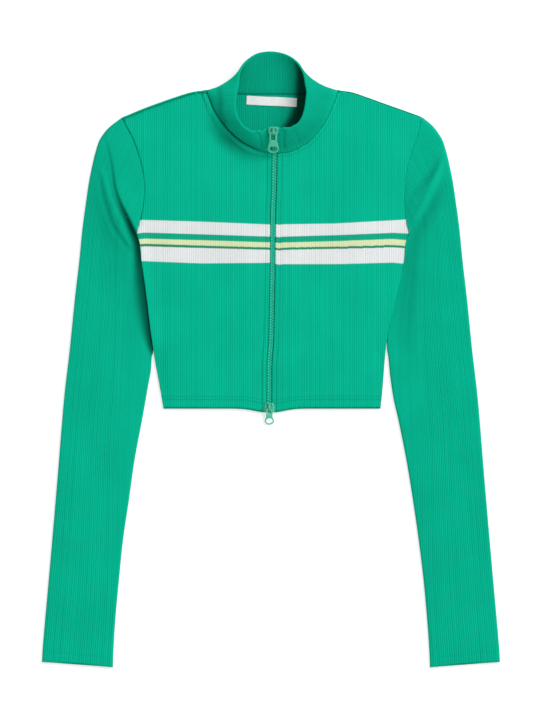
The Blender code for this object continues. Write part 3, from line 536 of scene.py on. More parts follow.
@dataclass(frozen=True)
class TapeFinish:
    """Woven zip tape."""

    name: str = "woven_tape"
    colour: Colour = (0.004, 0.4, 0.25)
    dark: float = 0.8
    warp: float = 9000.0
    weft: float = 7000.0

    def make(self) -> Finish:
        """The material."""
        bench = Bench(self.name)
        weave = bench.math("MULTIPLY", bench.threads(0, self.warp), bench.threads(1, self.weft))
        dark = tuple(self.dark * part for part in self.colour)
        bench.paint(bench.ramp(weave, -1.0, 1.0), dark, self.colour)
        bench.set(Roughness=0.8, Specular_IOR_Level=0.2)
        bench.bump(weave, 0.0001, 0.6)
        return bench.material


@dataclass(frozen=True)
class HardFinish:
    """Painted metal or moulded teeth, with a slight unevenness and a second colour at sharp edges,
    partly wear and partly painted highlight.
    """

    name: str
    colour: Colour
    wear_and_highlight: Colour
    roughness: float
    metallic: float = 0.0
    coat: float = 0.0
    gleam: float = 0.5
    uneven: float = 0.16  # how much the roughness varies

    def make(self) -> Finish:
        """The material."""
        bench = Bench(self.name)
        patches = bench.noise(320.0, 4.0)
        # Sharp edges take the second colour in patches: partly wear, and where it is lighter, painted
        # highlight
        edge = bench.ramp(bench.add("NewGeometry").outputs["Pointiness"], 0.52, 0.62)
        wear_and_highlight = bench.math("MULTIPLY", edge, bench.ramp(patches, 0.35, 0.65))
        bench.paint(wear_and_highlight, self.colour, self.wear_and_highlight)
        lowest = self.roughness - self.uneven / 2
        rough = bench.math("MULTIPLY_ADD", patches, self.uneven, lowest)
        bench.set(Roughness=rough, Metallic=self.metallic, Coat_Weight=self.coat)
        bench.set(Coat_Roughness=0.25, Specular_IOR_Level=self.gleam)
        bench.bump(bench.noise(1500.0), 0.00004, 0.4)
        return bench.material


@dataclass(frozen=True)
class SatinFinish:
    """White satin ribbon with fine weft lines."""

    name: str = "label_satin"
    colour: Colour = (0.80, 0.80, 0.80)
    cool: Colour = (0.744, 0.744, 0.76)
    weft: float = 14000.0

    def make(self) -> Finish:
        """The material."""
        bench = Bench(self.name)
        bench.paint(bench.ramp(bench.noise(120.0), 0.35, 0.7), self.colour, self.cool)
        bench.set(Roughness=0.45, Sheen_Weight=0.2, Specular_IOR_Level=0.35)
        bench.bump(bench.threads(1, self.weft), 0.00006, 0.4)
        return bench.material


@dataclass(frozen=True)
class FloorFinish:
    """A plain white table, lit a little from below, with a hardly visible grain."""

    name: str = "pale_floor"
    colour: Colour = (0.52, 0.52, 0.52)
    dim: Colour = (0.5122, 0.5122, 0.5122)
    glow: float = 0.6

    def make(self) -> Finish:
        """The material."""
        bench = Bench(self.name)
        bench.paint(bench.noise(4.0), self.colour, self.dim)
        bench.set(Roughness=0.9, Specular_IOR_Level=0.1)
        bench.set(Emission_Color=(1.0, 1.0, 1.0, 1.0), Emission_Strength=self.glow)
        return bench.material


# Meshes


def added(name: str, data: bpy.types.ID) -> Piece:
    """A new object in the scene."""
    made = bpy.data.objects.new(name, data)
    bpy.context.scene.collection.objects.link(made)
    return made


def dress(piece: Piece, material: Finish, body: str = GARMENT) -> None:
    """Gives a piece its material and the body that it rides on."""
    piece.data.materials.clear()
    piece.data.materials.append(material)
    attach(piece, body)


@dataclass
class Shell:
    """Points and faces of a closed piece, with what its material reads at each point."""

    points: list = field(default_factory=list)
    faces: list = field(default_factory=list)
    uv: list = field(default_factory=list)
    painted_shade: list = field(default_factory=list)
    chest: list = field(default_factory=list)

    def add(self, points: Array, uv: Array, painted_shade: Array | float, chest: Array | float = 0.0) -> Array:
        """Adds points.

        Args:
            points: Their places.
            uv: Places across and along the knit, in millimetres.
            painted_shade: How dark each is, as painted shade.
            chest: The height on the chest that each has.

        Returns:
            The points' numbers.
        """
        first = len(self.points)
        self.points += points.tolist()
        self.uv += uv.tolist()
        self.painted_shade.extend(np.broadcast_to(painted_shade, len(points)))
        self.chest.extend(np.broadcast_to(chest, len(points)))
        return np.arange(first, len(self.points))

    def grid(self, rows: Array) -> None:
        """Adds quads between rows of point numbers."""
        corners = [rows[:-1, :-1], rows[:-1, 1:], rows[1:, 1:], rows[1:, :-1]]
        self.faces += np.stack(corners, axis=-1).reshape(-1, 4).tolist()

    def stitch(self, a: Array, b: Array, at_a: Array, at_b: Array) -> None:
        """Adds triangles between two rows.

        Args:
            a: Point numbers of the first row.
            b: Those of the second.
            at_a: Places of the first row's points, rising from 0 to 1.
            at_b: Those of the second row's.
        """
        i = j = 0
        while i < len(a) - 1 or j < len(b) - 1:
            step_a = at_a[i + 1] if i < len(a) - 1 else math.inf
            step_b = at_b[j + 1] if j < len(b) - 1 else math.inf
            if step_a <= step_b:
                self.faces.append([a[i], b[j], a[i + 1]])
                i += 1
            else:
                self.faces.append([a[i], b[j], b[j + 1]])
                j += 1

    def panel(self, count: int, *sides: tuple[Array, Array, list, Array, Array | float]) -> None:
        """Adds a panel's upper and lower side and the wall between their rims.

        Args:
            count: The number of points on the rim, which come first and in turn.
            sides: Places in plan, heights, triangles, shades and chest heights of each.
        """
        rims = []
        for turned, (plan, z, faces, shade, chest) in enumerate(sides):
            numbers = self.add(np.column_stack([plan, z]), plan, shade, chest)
            self.faces += [[numbers[k] for k in face[:: -1 if turned else 1]] for face in faces]
            rims.append(numbers)
        top, base = rims
        for k in range(count):
            after = (k + 1) % count
            self.faces.append([top[k], base[k], base[after], top[after]])

    def build(self, name: str) -> Piece:
        """The finished object, smooth and with its faces turned outwards."""
        mesh = bpy.data.meshes.new(name)
        mesh.from_pydata((np.array(self.points) * MM).tolist(), [], self.faces)
        mesh.validate()
        for key, numbers in (("painted_shade", self.painted_shade), ("chest", self.chest)):
            layer = mesh.attributes.new(key, "FLOAT", "POINT")
            layer.data.foreach_set("value", np.array(numbers, np.float32))
        corner = np.zeros(len(mesh.loops), np.int32)
        mesh.loops.foreach_get("vertex_index", corner)
        places = np.array(self.uv)[corner] / KnitFinish.uv_scale
        layer = mesh.uv_layers.new(name="knit")
        layer.data.foreach_set("uv", places.astype(np.float32).ravel())
        shape = bmesh.new()
        shape.from_mesh(mesh)
        bmesh.ops.recalc_face_normals(shape, faces=shape.faces)
        if shape.calc_volume(signed=True) < 0:
            bmesh.ops.reverse_faces(shape, faces=shape.faces)
        shape.to_mesh(mesh)
        shape.free()
        mesh.shade_smooth()
        return added(name, mesh)


def counterclockwise(outline: Array) -> Array:
    """The outline, turned round if it runs clockwise."""
    after = np.roll(outline, -1, axis=0)
    turn = np.sum(outline[:, 0] * after[:, 1] - after[:, 0] * outline[:, 1])
    return outline[::-1] if turn < 0 else outline


@dataclass(frozen=True)
class Weft:
    """How a panel's face is divided: columns along the ribs, with rows denser near edges."""

    column: float
    row: float
    margin: float = 0.8
    near_low: tuple[float, ...] = ()
    near_high: tuple[float, ...] = ()
    squash: float = 0.07  # scale of y while triangles are chosen, so that they run along the ribs
    scan: float = 0.5  # step at which a line is looked along for places inside
    shortest: float = 1.2  # length below which a line is left out
    closest: float = 0.6  # least gap between the rows near both edges

    def runs(self, outline: Array, window: tuple = ()) -> list[Array]:
        """Lines of points along the ribs, inside an outline.

        Args:
            outline: The panel's edge.
            window: Lowest and highest x and least y that the lines keep to, if any.

        Returns:
            One array of points for each stretch.
        """
        low, high = outline.min(axis=0), outline.max(axis=0)
        if window:
            low = np.maximum(low, (window[0], window[2]))
            high = np.minimum(high, (window[1], high[1]))
        first, last = math.ceil(low[0] / self.column), math.floor(high[0] / self.column)
        y = np.arange(low[1], high[1], self.scan)
        closed = np.vstack([outline, outline[:1]])
        found = []
        for x in (index * self.column for index in range(first, last + 1)):
            crossing = self.crossings(closed, x)
            free = np.zeros(len(y), bool)
            for a, b in zip(crossing[::2], crossing[1::2]):
                free |= (y > a + self.margin) & (y < b - self.margin)
            starts = np.flatnonzero(free & ~np.concatenate([[False], free[:-1]]))
            ends = np.flatnonzero(free & ~np.concatenate([free[1:], [False]]))
            for ys in map(self.places, y[starts], y[ends]):
                if len(ys) > 1:
                    found.append(np.stack([np.full(len(ys), x), ys], axis=1))
        return found

    def crossings(self, closed: Array, x: float) -> list[float]:
        """Heights at which a vertical line crosses the outline, lowest first."""
        a, b = closed[:-1], closed[1:]
        across = (a[:, 0] > x) != (b[:, 0] > x)
        share = (x - a[across, 0]) / (b[across, 0] - a[across, 0])
        return sorted(a[across, 1] + share * (b[across, 1] - a[across, 1]))

    def places(self, low: float, high: float) -> Array:
        """Heights of one line's points."""
        if high - low < self.shortest:
            return np.array([])
        bottom = [low + part for part in (0.0, *self.near_low) if low + part < high]
        least = bottom[-1] + self.closest
        top = [high - part for part in (0.0, *self.near_high) if high - part > least]
        if not top:
            return np.array(bottom)
        count = max(0, round((top[-1] - bottom[-1]) / self.row) - 1)
        middle = np.linspace(bottom[-1], top[-1], count + 2)[1:-1]
        return np.concatenate([bottom, middle, top[::-1]])

    def fill(self, outline: Array) -> tuple[Array, list]:
        """All points of a face, the outline's first, and the triangles over them."""
        return triangulate(outline, self.runs(outline), self.squash)


def triangulate(outline: Array, runs: list[Array], squash: float) -> tuple[Array, list]:
    """Triangles over an outline and the lines inside it.

    Args:
        outline: The edge, counterclockwise.
        runs: Lines of points that the triangles keep.
        squash: Scale of y while triangles are chosen.

    Returns:
        All points, the outline's first, and the triangles.
    """
    base = count = len(outline)
    edges = [(k, (k + 1) % count) for k in range(count)]
    for run in runs:
        edges += [(base + k, base + k + 1) for k in range(len(run) - 1)]
        base += len(run)
    points = np.vstack([outline, *runs])
    flat = [Vector((p[0], p[1] * squash)) for p in points]
    found = delaunay_2d_cdt(flat, edges, [], 0, 1e-6, True)
    faces = [[found[3][k][0] for k in face] for face in found[2]]
    return points, drop_outside(faces, count)


def drop_outside(faces: list, count: int) -> list:
    """Leaves out the triangles beyond the outline.

    Args:
        faces: Triangles over the whole hull.
        count: The number of outline points, which come first and in turn.

    Returns:
        The triangles inside.
    """
    rim = {(k, (k + 1) % count) for k in range(count)}
    owner = {(f[k], f[(k + 1) % 3]): i for i, f in enumerate(faces) for k in range(3)}
    waiting = [owner[(b, a)] for a, b in rim if (b, a) in owner]
    outside = set(waiting)
    while waiting:
        face = faces[waiting.pop()]
        for a, b in zip(face, face[1:] + face[:1]):
            other = owner.get((b, a))
            if other is None or other in outside or (a, b) in rim or (b, a) in rim:
                continue
            outside.add(other)
            waiting.append(other)
    return [face for i, face in enumerate(faces) if i not in outside]


@dataclass(frozen=True)
class RibKnit:
    """The relief of the rib knit."""

    pitch: float = RIB_PITCH
    high: float = 0.42
    # Painted shade in the valleys and evenly over the knit, and how it falls off; some crests keep their
    # light, as painted highlight
    valley_shade: float = 0.05
    base_shade: float = 0.14
    crown_power: float = 0.8
    valley_power: float = 1.2
    light_power: float = 7.0
    # Least and most of what the ribs have, and height and length of its swell along each
    tall: tuple[float, ...] = (0.72, 1.12, 0.12, 31.0)
    dark: tuple[float, ...] = (0.35, 1.7, 0.4, 23.0)
    turn: float = 6.3
    pressed_share: tuple[float, float] = (1.1, 0.75)  # full height, and how much of it is left
    seed: int = 11
    count: int = 509

    def draws(self, index: Array, low: float, high: float, turn: int) -> Array:
        """A number for each rib, the same in every run."""
        table = np.random.default_rng(self.seed + turn).uniform(low, high, self.count)
        return table[np.asarray(index, int) % self.count]

    def uneven(self, index: Array, along: Array, span: tuple[float, ...], turn: int) -> Array:
        """A number for each rib that also swells along it."""
        low, high, more, long = span
        drawn = self.draws(index, low, high, turn)
        return drawn * (1 + more * np.sin(along / long + self.draws(index, 0, self.turn, turn + 1)))

    def relief(self, across: Array, along: Array) -> tuple[Array, Array]:
        """Height and shade of the ribs.

        Args:
            across: Distance across them.
            along: Distance along them.

        Returns:
            The height, and the painted shade: in the valleys, and evenly over the knit but for some
                crests, which are left lighter as painted highlight.
        """
        rib, valley = np.floor(across / self.pitch), np.round(across / self.pitch)
        crown = np.abs(np.sin(np.pi * across / self.pitch)) ** self.crown_power
        tall = self.uneven(rib, along, self.tall, 0)
        dark = self.uneven(valley, along, self.dark, 2)
        # Painted highlight: some ribs' crests lose the even base shade
        lit = self.draws(rib, 0.0, 1.0, 4) ** 2 * crown**self.light_power
        shade = self.valley_shade * dark * (1.0 - crown) ** self.valley_power
        shade = self.base_shade * (1.0 - lit) + shade
        return self.high * crown * tall, np.clip(shade, 0.0, 1.0)

    def pressed(self, across: Array, along: Array) -> tuple[Array, Array]:
        """Depth and shade of ribs that are pressed flat on the floor."""
        relief, shade = self.relief(across, along)
        full = self.high * self.pressed_share[0]
        return self.pressed_share[1] * (full - np.minimum(relief, full)), shade


class FoldKind(Enum):
    """What a fold does to the cloth beside its line."""

    RIDGE = "ridge"
    TROUGH = "trough"  # sunk between two banks


@dataclass(frozen=True)
class Fold:
    """A crease: its line with a height at each knot, and how wide it is on each side."""

    kind: FoldKind
    # x, y, height, painted shade and how far the shade reaches to the line's right
    line: tuple[tuple[float, float, float, float, float], ...]
    left: float
    right: float
    bank: float = 20.0
    shade_left: float = 3.0
    blunt: float = 1.0  # above 1, the shade is even across and ends more sharply

    def relief(self, points: Array) -> tuple[Array, Array]:
        """Lift and shade at places in plan."""
        smooth = even_path(self.line, count=8 * len(self.line))
        far, place = off_line(points, smooth[:, :2])
        knots = np.arange(len(smooth))
        high, dark, reach = np.maximum(sample(smooth[:, 2:], knots, place), 0.0).T
        near = bell(far, np.where(far > 0, self.left, self.right))
        if self.kind is FoldKind.RIDGE:
            lift = high * near
        else:
            lift = high * bell(far, self.bank) * (1.0 - near)
        share = np.abs(far) / np.where(far > 0, self.shade_left, np.maximum(reach, 0.1))
        return lift, dark * np.exp(-(share ** (2.0 * self.blunt)))


def folded(points: Array, folds: tuple[Fold, ...]) -> tuple[Array, Array]:
    """Lift and shade of several folds together."""
    lift, shade = np.zeros(len(points)), np.zeros(len(points))
    for fold in folds:
        more, dark = fold.relief(points)
        lift += more
        shade = np.maximum(shade, dark)
    return lift, shade


def groove(distance: Array, at: float, width: float = 0.7) -> Array:
    """1 on a line at a distance from an edge, such as a row of stitches."""
    return bell(distance - at, width)


# Fronts and back


@dataclass
class FrontPanel:
    """One front: ribs, chest stripes, neck edge, folded zip edge and twin-stitched hem."""

    side: Side
    knit: RibKnit
    hem_rows: tuple[float, float] = (10.3, 14.2)
    zip_row: float = 5.2
    full_loft_y: tuple[float, float] = (-8.0, 22.0)
    edge_ease: float = 16.0
    beside_span: tuple[float, ...] = (-2.0, 40.0, 140.0, 168.0)
    beside_lift: tuple[float, float] = (2.0, 9.0)  # height and width
    free_edge: tuple[float, float] = (6.0, 0.15)  # below this height, its gap over the back
    # The doubled edges: how much higher, from where to where their inner edge slopes
    hem_step: tuple[float, ...] = (0.45, 13.9, 16.4)
    neck_step: tuple[float, ...] = (0.7, -0.6, 1.6)
    zip_step: tuple[float, ...] = (0.35, -0.4, 1.4)
    row_depths: tuple[float, ...] = (0.35, 0.45, 0.5)  # at hem, zip and neck
    row_shades: tuple[float, ...] = (0.17, 0.14, 0.14)
    row_more: float = 0.2  # how much darker the rows are near hem and neck
    # At shoulder and armhole, right and left
    seam_depths: tuple[tuple[float, float], ...] = ((0.75, 0.7), (0.15, 0.12))
    # At the armhole's top, the whole armhole, shoulder and neck, right and left
    seam_shades: tuple[tuple[float, ...], ...] = ((0.36, 0.1, 0.2, 0.5), (0.03, 0.0, 0.0, 0.0))
    zip_shade: float = 0.26
    neck_light: float = 0.75  # how much of the shade the left front's neck edge loses
    rim_drops: tuple[float, ...] = (0.55, 0.1, 0.4)  # elsewhere, at seams, more where parted
    lower_shade: float = 0.1
    # Chest stripes: x, then the height on the chest of each of the six edges
    right_stripes: tuple = (
        (-152.5, 160.5, 145.2, 138.2, 132.4, 129.6, 113.4),
        (-145.0, 160.4, 146.1, 139.0, 133.2, 130.2, 113.2),
        (-80.6, 158.5, 144.1, 137.3, 131.0, 128.5, 110.6),
        (-2.5, 155.2, 141.5, 134.8, 128.6, 126.2, 111.4),
    )
    left_stripes: tuple = (
        (5.0, 155.3, 141.2, 134.4, 128.2, 126.2, 109.8),
        (74.6, 156.4, 143.2, 136.3, 129.4, 127.5, 109.8),
        (139.3, 160.0, 145.8, 138.9, 131.3, 129.4, 111.5),
        (157.0, 161.2, 145.0, 137.2, 130.1, 128.0, 109.8),
    )
    dent: tuple[float, ...] = (0.5, 9.4, 2.2)  # height, x and width of one in the left stripes
    # The collar's shadow on the right front: x at the neck seam, how dark
    neck_shadow: tuple = (
        (-68.0, 0.0), (-56.3, 0.28), (-45.8, 0.5), (-33.9, 0.42),
        (-21.5, 0.3), (-11.0, 0.1), (0.0, 0.0),
    )  # fmt: skip
    swell: tuple = (
        (0.22, 0.031, 0.017, 0.4), (0.16, -0.047, 0.029, 2.1), (0.12, 0.083, 0.011, 4.0),
    )  # fmt: skip
    weft: Weft = Weft(
        RIB_PITCH / 6,
        5.0,
        near_low=(1.2, 3.0, 5.5, 8.4, 9.4, 10.3, 11.2, 12.3, 13.3, 14.2, 15.1, 16.8),
        near_high=(1.0, 2.0, 3.4, 4.8, 7.0),
    )
    lower_weft: Weft = Weft(7.0, 30.0, margin=3.0, squash=0.3)

    def __post_init__(self) -> None:
        """Works out the lines that the relief is measured from."""
        sign = self.side.value
        self.neck_row = self.side.pick(6.2, 3.9)
        self.neck_line = even_path(CUT.front_neck(self.side), spacing=1.5)
        lip = np.array([0.0, self.side.pick(*CUT.shoulder_lip) + CUT.seam])
        shoulder = even_path(CUT.mirrored(CUT.shoulder, self.side)[::-1], spacing=1.2)
        self.armhole_line = even_path(CUT.sided(CUT.armhole, self.side), spacing=2.0)
        inner = np.abs(shoulder[:, 0]) < abs(self.armhole_line[0][0]) - 0.6
        self.shoulder_line = shoulder[inner] - lip
        self.seam_line = even_path(CUT.sided(CUT.side_seam, self.side), spacing=3.0)[1:]
        edge = CUT.zip_x(CUT.hem_y - CUT.hem_dip[0]) + sign * CUT.zip_half
        count = round(abs(self.seam_line[-1][0] - edge) / 0.5)
        hem_x = np.linspace(self.seam_line[-1][0], edge, count)[1:]
        self.hem_line = np.stack([hem_x, CUT.front_hem(hem_x, self.side)], axis=1)
        climb = np.linspace(self.hem_line[-1][1], self.neck_line[0][1], 110)[1:-1]
        self.zip_edge = np.stack([CUT.zip_x(climb) + sign * CUT.zip_half, climb], axis=1)

    def chest_height(self, points: Array) -> Array:
        """The height on the chest that each place has once the stripes are straight."""
        x, y = points.T
        xs, *columns = np.array(self.side.pick(self.right_stripes, self.left_stripes)).T
        edges = [np.interp(x, xs, column) for column in columns]
        result = np.where(y > edges[0], y - edges[0] + STRIPE_HEIGHTS[0], 0.0)
        result = np.where(y < edges[-1], y - edges[-1] + STRIPE_HEIGHTS[-1], result)
        bands = zip(edges[:-1], edges[1:], STRIPE_HEIGHTS[:-1], STRIPE_HEIGHTS[1:])
        for high, low, top, bottom in bands:
            share = (y - low) / (high - low)
            here = (y <= high) & (y >= low)
            result = np.where(here, bottom + share * (top - bottom), result)
        high, middle, width = self.dent
        return result + self.side.pick(0.0, high) * bell(x - middle, width)

    def under(self, points: Array) -> Array:
        """Height of the front's underside."""
        x, y = points.T
        inward = np.abs(CUT.edge_x(y, self.side) - x)
        ease = smoothstep(inward, 0.0, self.edge_ease)
        ease = np.maximum(ease, smoothstep(y, *self.full_loft_y))
        high, width = self.beside_lift
        lift = self.side.pick(high, 0.0) * window(y, *self.beside_span) * bell(inward, width)
        return CUT.cloth + CUT.seam + CUT.air * ease + lift

    def upper(self, points: Array) -> tuple[Array, Array, Array]:
        """Height, shade and chest height of the upper face."""
        x, y = points.T
        relief, shade = self.knit.relief(x, y)
        hem = y - CUT.front_hem(x, self.side)
        neck, foot = off_line(points, self.neck_line)
        neck = np.abs(neck)
        foot_x = np.interp(foot, np.arange(len(self.neck_line)), self.neck_line[:, 0])
        from_zip = np.abs(x - CUT.zip_x(y)) - CUT.zip_half
        shoulder, armhole = (from_line(points, line) for line in (self.shoulder_line, self.armhole_line))
        row = self.neck_row
        z = self.under(points) + CUT.cloth + relief + waves(points, self.swell)
        for distance, at, (high, low, top) in (
            (hem, 0.0, self.hem_step),
            (neck, row, self.neck_step),
            (from_zip, self.zip_row, self.zip_step),
        ):
            z = z + high * (1 - smoothstep(distance, at + low, at + top))
        twin = np.maximum(*(groove(hem, at) for at in self.hem_rows))
        rows = (twin, groove(from_zip, self.zip_row, 0.8), groove(neck, row, 0.9))
        for depth, line in zip(self.row_depths, rows):
            z = z - depth * line
        at_shoulder, at_armhole = self.side.pick(*self.seam_depths)
        z = z - at_shoulder * bell(shoulder, 1.2) - at_armhole * bell(armhole, 1.1)
        near_hem = self.row_more * (1.0 - smoothstep(y, -20.0, 60.0))
        near_neck = self.row_more * smoothstep(-foot_x, 6.0, 24.0)
        more = (0.0, near_hem, near_neck)
        at_top, at_armhole, at_shoulder, at_neck = self.side.pick(*self.seam_shades)
        shade = shaded(
            shade,
            *((dark + extra) * line for dark, extra, line in zip(self.row_shades, more, rows)),
            (at_top * smoothstep(y, 150.0, 240.0) + at_armhole) * bell(armhole, 0.7),
            at_shoulder * bell(shoulder, 0.8),
            at_neck * smoothstep(-foot_x, 8.0, 24.0) * bell(neck, 0.9),
            self.zip_shade * bell(from_zip, 0.5),
        )
        # Painted shadow of the collar on the right front; on the left, a painted highlight along the
        # neck edge
        if self.side is Side.RIGHT:
            cast = np.interp(foot_x, *np.array(self.neck_shadow).T)
            cast = cast * (1.0 - smoothstep(neck, 6.0, 25.0))
            shade = shaded(shade, cast * (0.5 + 0.5 * smoothstep(neck, row - 1.0, row + 1.2)))
        else:
            shade = shade * (1.0 - self.neck_light * groove(neck, 1.6, 1.1))
        return z, shade, self.chest_height(points)

    def outline(self) -> Array:
        """The whole edge, counterclockwise."""
        parts = [self.neck_line, self.shoulder_line, self.armhole_line, self.seam_line]
        return counterclockwise(np.vstack([*parts, self.hem_line, self.zip_edge]))

    def drop(self, rim: Array) -> Array:
        """How far the upper face bends down at its rim."""
        usual, sewn, parted = self.rim_drops
        drop = sewn + parted * smoothstep(-rim[:, 0], 10.0, 26.0)
        drop = np.where(from_line(rim, self.neck_line) < 0.01, drop, usual)
        if self.side is Side.LEFT:
            for line in (self.armhole_line, self.shoulder_line):
                drop = np.where(from_line(rim, line) < 0.01, sewn, drop)
        return drop

    def build(self, material: Finish) -> Piece:
        """Makes the panel.

        Args:
            material: Its finish.

        Returns:
            The piece.
        """
        rim = self.outline()
        count = len(rim)
        points, faces = self.weft.fill(rim)
        z, shade, chest = self.upper(points)
        z[:count] = np.minimum(z[:count], self.under(rim) + CUT.cloth) - self.drop(rim)
        edge = np.abs(CUT.edge_x(rim[:, 1], self.side) - rim[:, 0]) < 0.05
        lower = rim.copy()
        lower[:, 0] -= self.side.value * edge * CUT.tuck(rim[:, 1])
        plan, low_faces = self.lower_weft.fill(lower)
        low = self.under(plan)
        free = edge & (rim[:, 1] < self.free_edge[0])
        low[:count] = np.where(free, CUT.cloth + self.free_edge[1], low[:count])
        base = (plan, low, low_faces, self.lower_shade, self.chest_height(plan))
        shell = Shell()
        shell.panel(count, (points, z, faces, shade, chest), base)
        made = shell.build(f"front_{self.side.word}_knit")
        dress(made, material)
        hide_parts(f"front_{self.side.word}")
        return made


@dataclass
class BackPanel:
    """The back, with fine ribs where the neck opening shows its inside, and underneath."""

    knit: RibKnit
    lip_high: float = 4.6
    hem_lift: float = 0.8
    hem_rows: tuple[float, float] = (9.5, 13.5)
    window: tuple[float, float, float] = (-84.0, 84.0, 226.0)  # x from, x to, y from
    armhole_out: tuple[float, ...] = (1.4, 262.0, 272.0)  # how far, and between which heights
    corner: tuple[float, float] = (0.4, 1.8)
    rim_share: float = 0.75
    rim_low: float = 0.45
    lip_insets: tuple[float, ...] = (0.4, 1.0, 1.9, 2.3, 2.7, 3.4)
    below_lip: float = 262.0
    coarse: Weft = Weft(18.0, 30.0, margin=4.0)
    fine: Weft = Weft(RIB_PITCH / 6, 4.0, near_high=(0.7, 1.5, 2.3, 2.8, 3.6, 6.0))
    under: Weft = Weft(
        0.5, 12.0, near_low=(1.2, 3.5, 7.6, 8.6, 9.5, 10.4, 11.5, 12.6, 13.5, 14.4, 17.0)
    )

    def outline(self) -> Array:
        """The whole edge, counterclockwise."""
        sides = []
        out, low, high = self.armhole_out
        for side in Side:
            shoulder = even_path(CUT.mirrored(CUT.shoulder, side)[::-1], spacing=1.5)
            armhole = even_path(CUT.sided(CUT.armhole, side), spacing=3.0)
            armhole[:, 0] += out * side.value * smoothstep(armhole[:, 1], low, high)
            armhole[0] = shoulder[-1] - np.array([self.corner[0] * side.value, self.corner[1]])
            seam = even_path(CUT.sided(CUT.side_seam, side), spacing=4.0)[1:]
            seam[:, 0] -= side.value * CUT.tuck(seam[:, 1])
            seam[-1][1] += self.hem_lift
            sides.append(np.vstack([shoulder, armhole, seam]))
        right, left = sides[0][::-1], sides[1]
        hem_x = np.linspace(left[-1][0], right[0][0], 560)[1:-1]
        hem = np.stack([hem_x, np.full(len(hem_x), left[-1][1])], axis=1)
        neck = [(-x, y) for x, y in CUT.back_neck] + list(CUT.back_neck[::-1])
        return counterclockwise(np.vstack([even_path(neck, spacing=1.2), left, hem, right]))

    def lip(self, points: Array) -> tuple[Array, Array]:
        """Height of the folded strip along each shoulder, and how dark its seam is."""
        lines = [even_path(CUT.mirrored(CUT.shoulder, side), spacing=2.0) for side in Side]
        right = points[:, 0] < 0
        far, place = np.where(right, *(np.array(off_line(points, line)) for line in lines))
        far = np.abs(far)
        ends = smoothstep(place, 0.0, 2.0)
        width = np.where(right, *CUT.shoulder_lip)
        high = smoothstep(width + 0.25 - far, 0.0, 0.5) * np.sqrt(np.clip(0.5 + far, 0, 1))
        shade = 0.12 * bell(far - width, 0.5) + 0.2 * (1.0 - smoothstep(far, width, width + 0.6))
        shade = shade * np.where(right, smoothstep(-points[:, 0], 0.0, 20.0), 0.9)
        return high * ends * (self.lip_high - CUT.cloth), shade * ends

    def upper(self, points: Array) -> tuple[Array, Array]:
        """Height and shade of the inside."""
        x, y = points.T
        _, wide, low = self.window
        relief, shade = self.knit.relief(x, y)
        fine = smoothstep(y, low, low + 4.0) * (1 - smoothstep(np.abs(x), wide - 4, wide))
        lip, dark = self.lip(points)
        # Painted shade along the neck seam and painted shadow inside the neck
        seam = 0.08 * bell(y - CUT.back_neck[-1][1], 1.8)
        hidden = CUT.cavity_shade(points) * (1.0 - smoothstep(np.abs(x), 66.0, 70.0))
        shade = shaded(1.1 * shade * fine, dark, hidden, seam)
        return CUT.cloth + relief * fine * 0.9 + lip, shade

    def lower(self, points: Array) -> tuple[Array, Array]:
        """Height and shade of the underside, whose ribs are pressed flat on the floor."""
        depth, shade = self.knit.pressed(*points.T)
        hem = points[:, 1] - CUT.hem_y - self.hem_lift
        rows = np.maximum(*(groove(hem, at) for at in self.hem_rows))
        return depth + 0.3 * rows, np.maximum(shade, 0.17 * rows)

    def lines(self, outline: Array) -> list[Array]:
        """Lines of points over the inside: fine at the neck, coarse below, and at the strips."""
        _, wide, low = self.window
        found = self.fine.runs(outline, self.window)
        for run in self.coarse.runs(outline):
            clear = (np.abs(run[:, 0]) > wide + 3) | (run[:, 1] < low - 4)
            run = run[clear & (run[:, 1] <= self.below_lip)]
            if len(run) > 1:
                found.append(run)
        for side in Side:
            edge = even_path(CUT.mirrored(CUT.shoulder, side)[::-1], spacing=1.5)
            for inset in self.lip_insets:
                line = edge + side.value * inset * sideways(edge)
                found.append(line[np.abs(line[:, 0]) > wide + 1.5][1:-3])
        return found

    def build(self, material: Finish) -> Piece:
        """Makes the panel.

        Args:
            material: Its finish.

        Returns:
            The piece.
        """
        rim = self.outline()
        count = len(rim)
        points, faces = triangulate(rim, self.lines(rim), 0.25)
        z, shade = self.upper(points)
        z[:count] *= self.rim_share
        plan, low_faces = self.under.fill(rim)
        low, dark = self.lower(plan)
        low[:count] = self.rim_low
        shell = Shell()
        shell.panel(count, (points, z, faces, shade, 0.0), (plan, low, low_faces, dark, 0.0))
        made = shell.build("back_knit")
        dress(made, material)
        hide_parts("back")
        return made


# Sleeves


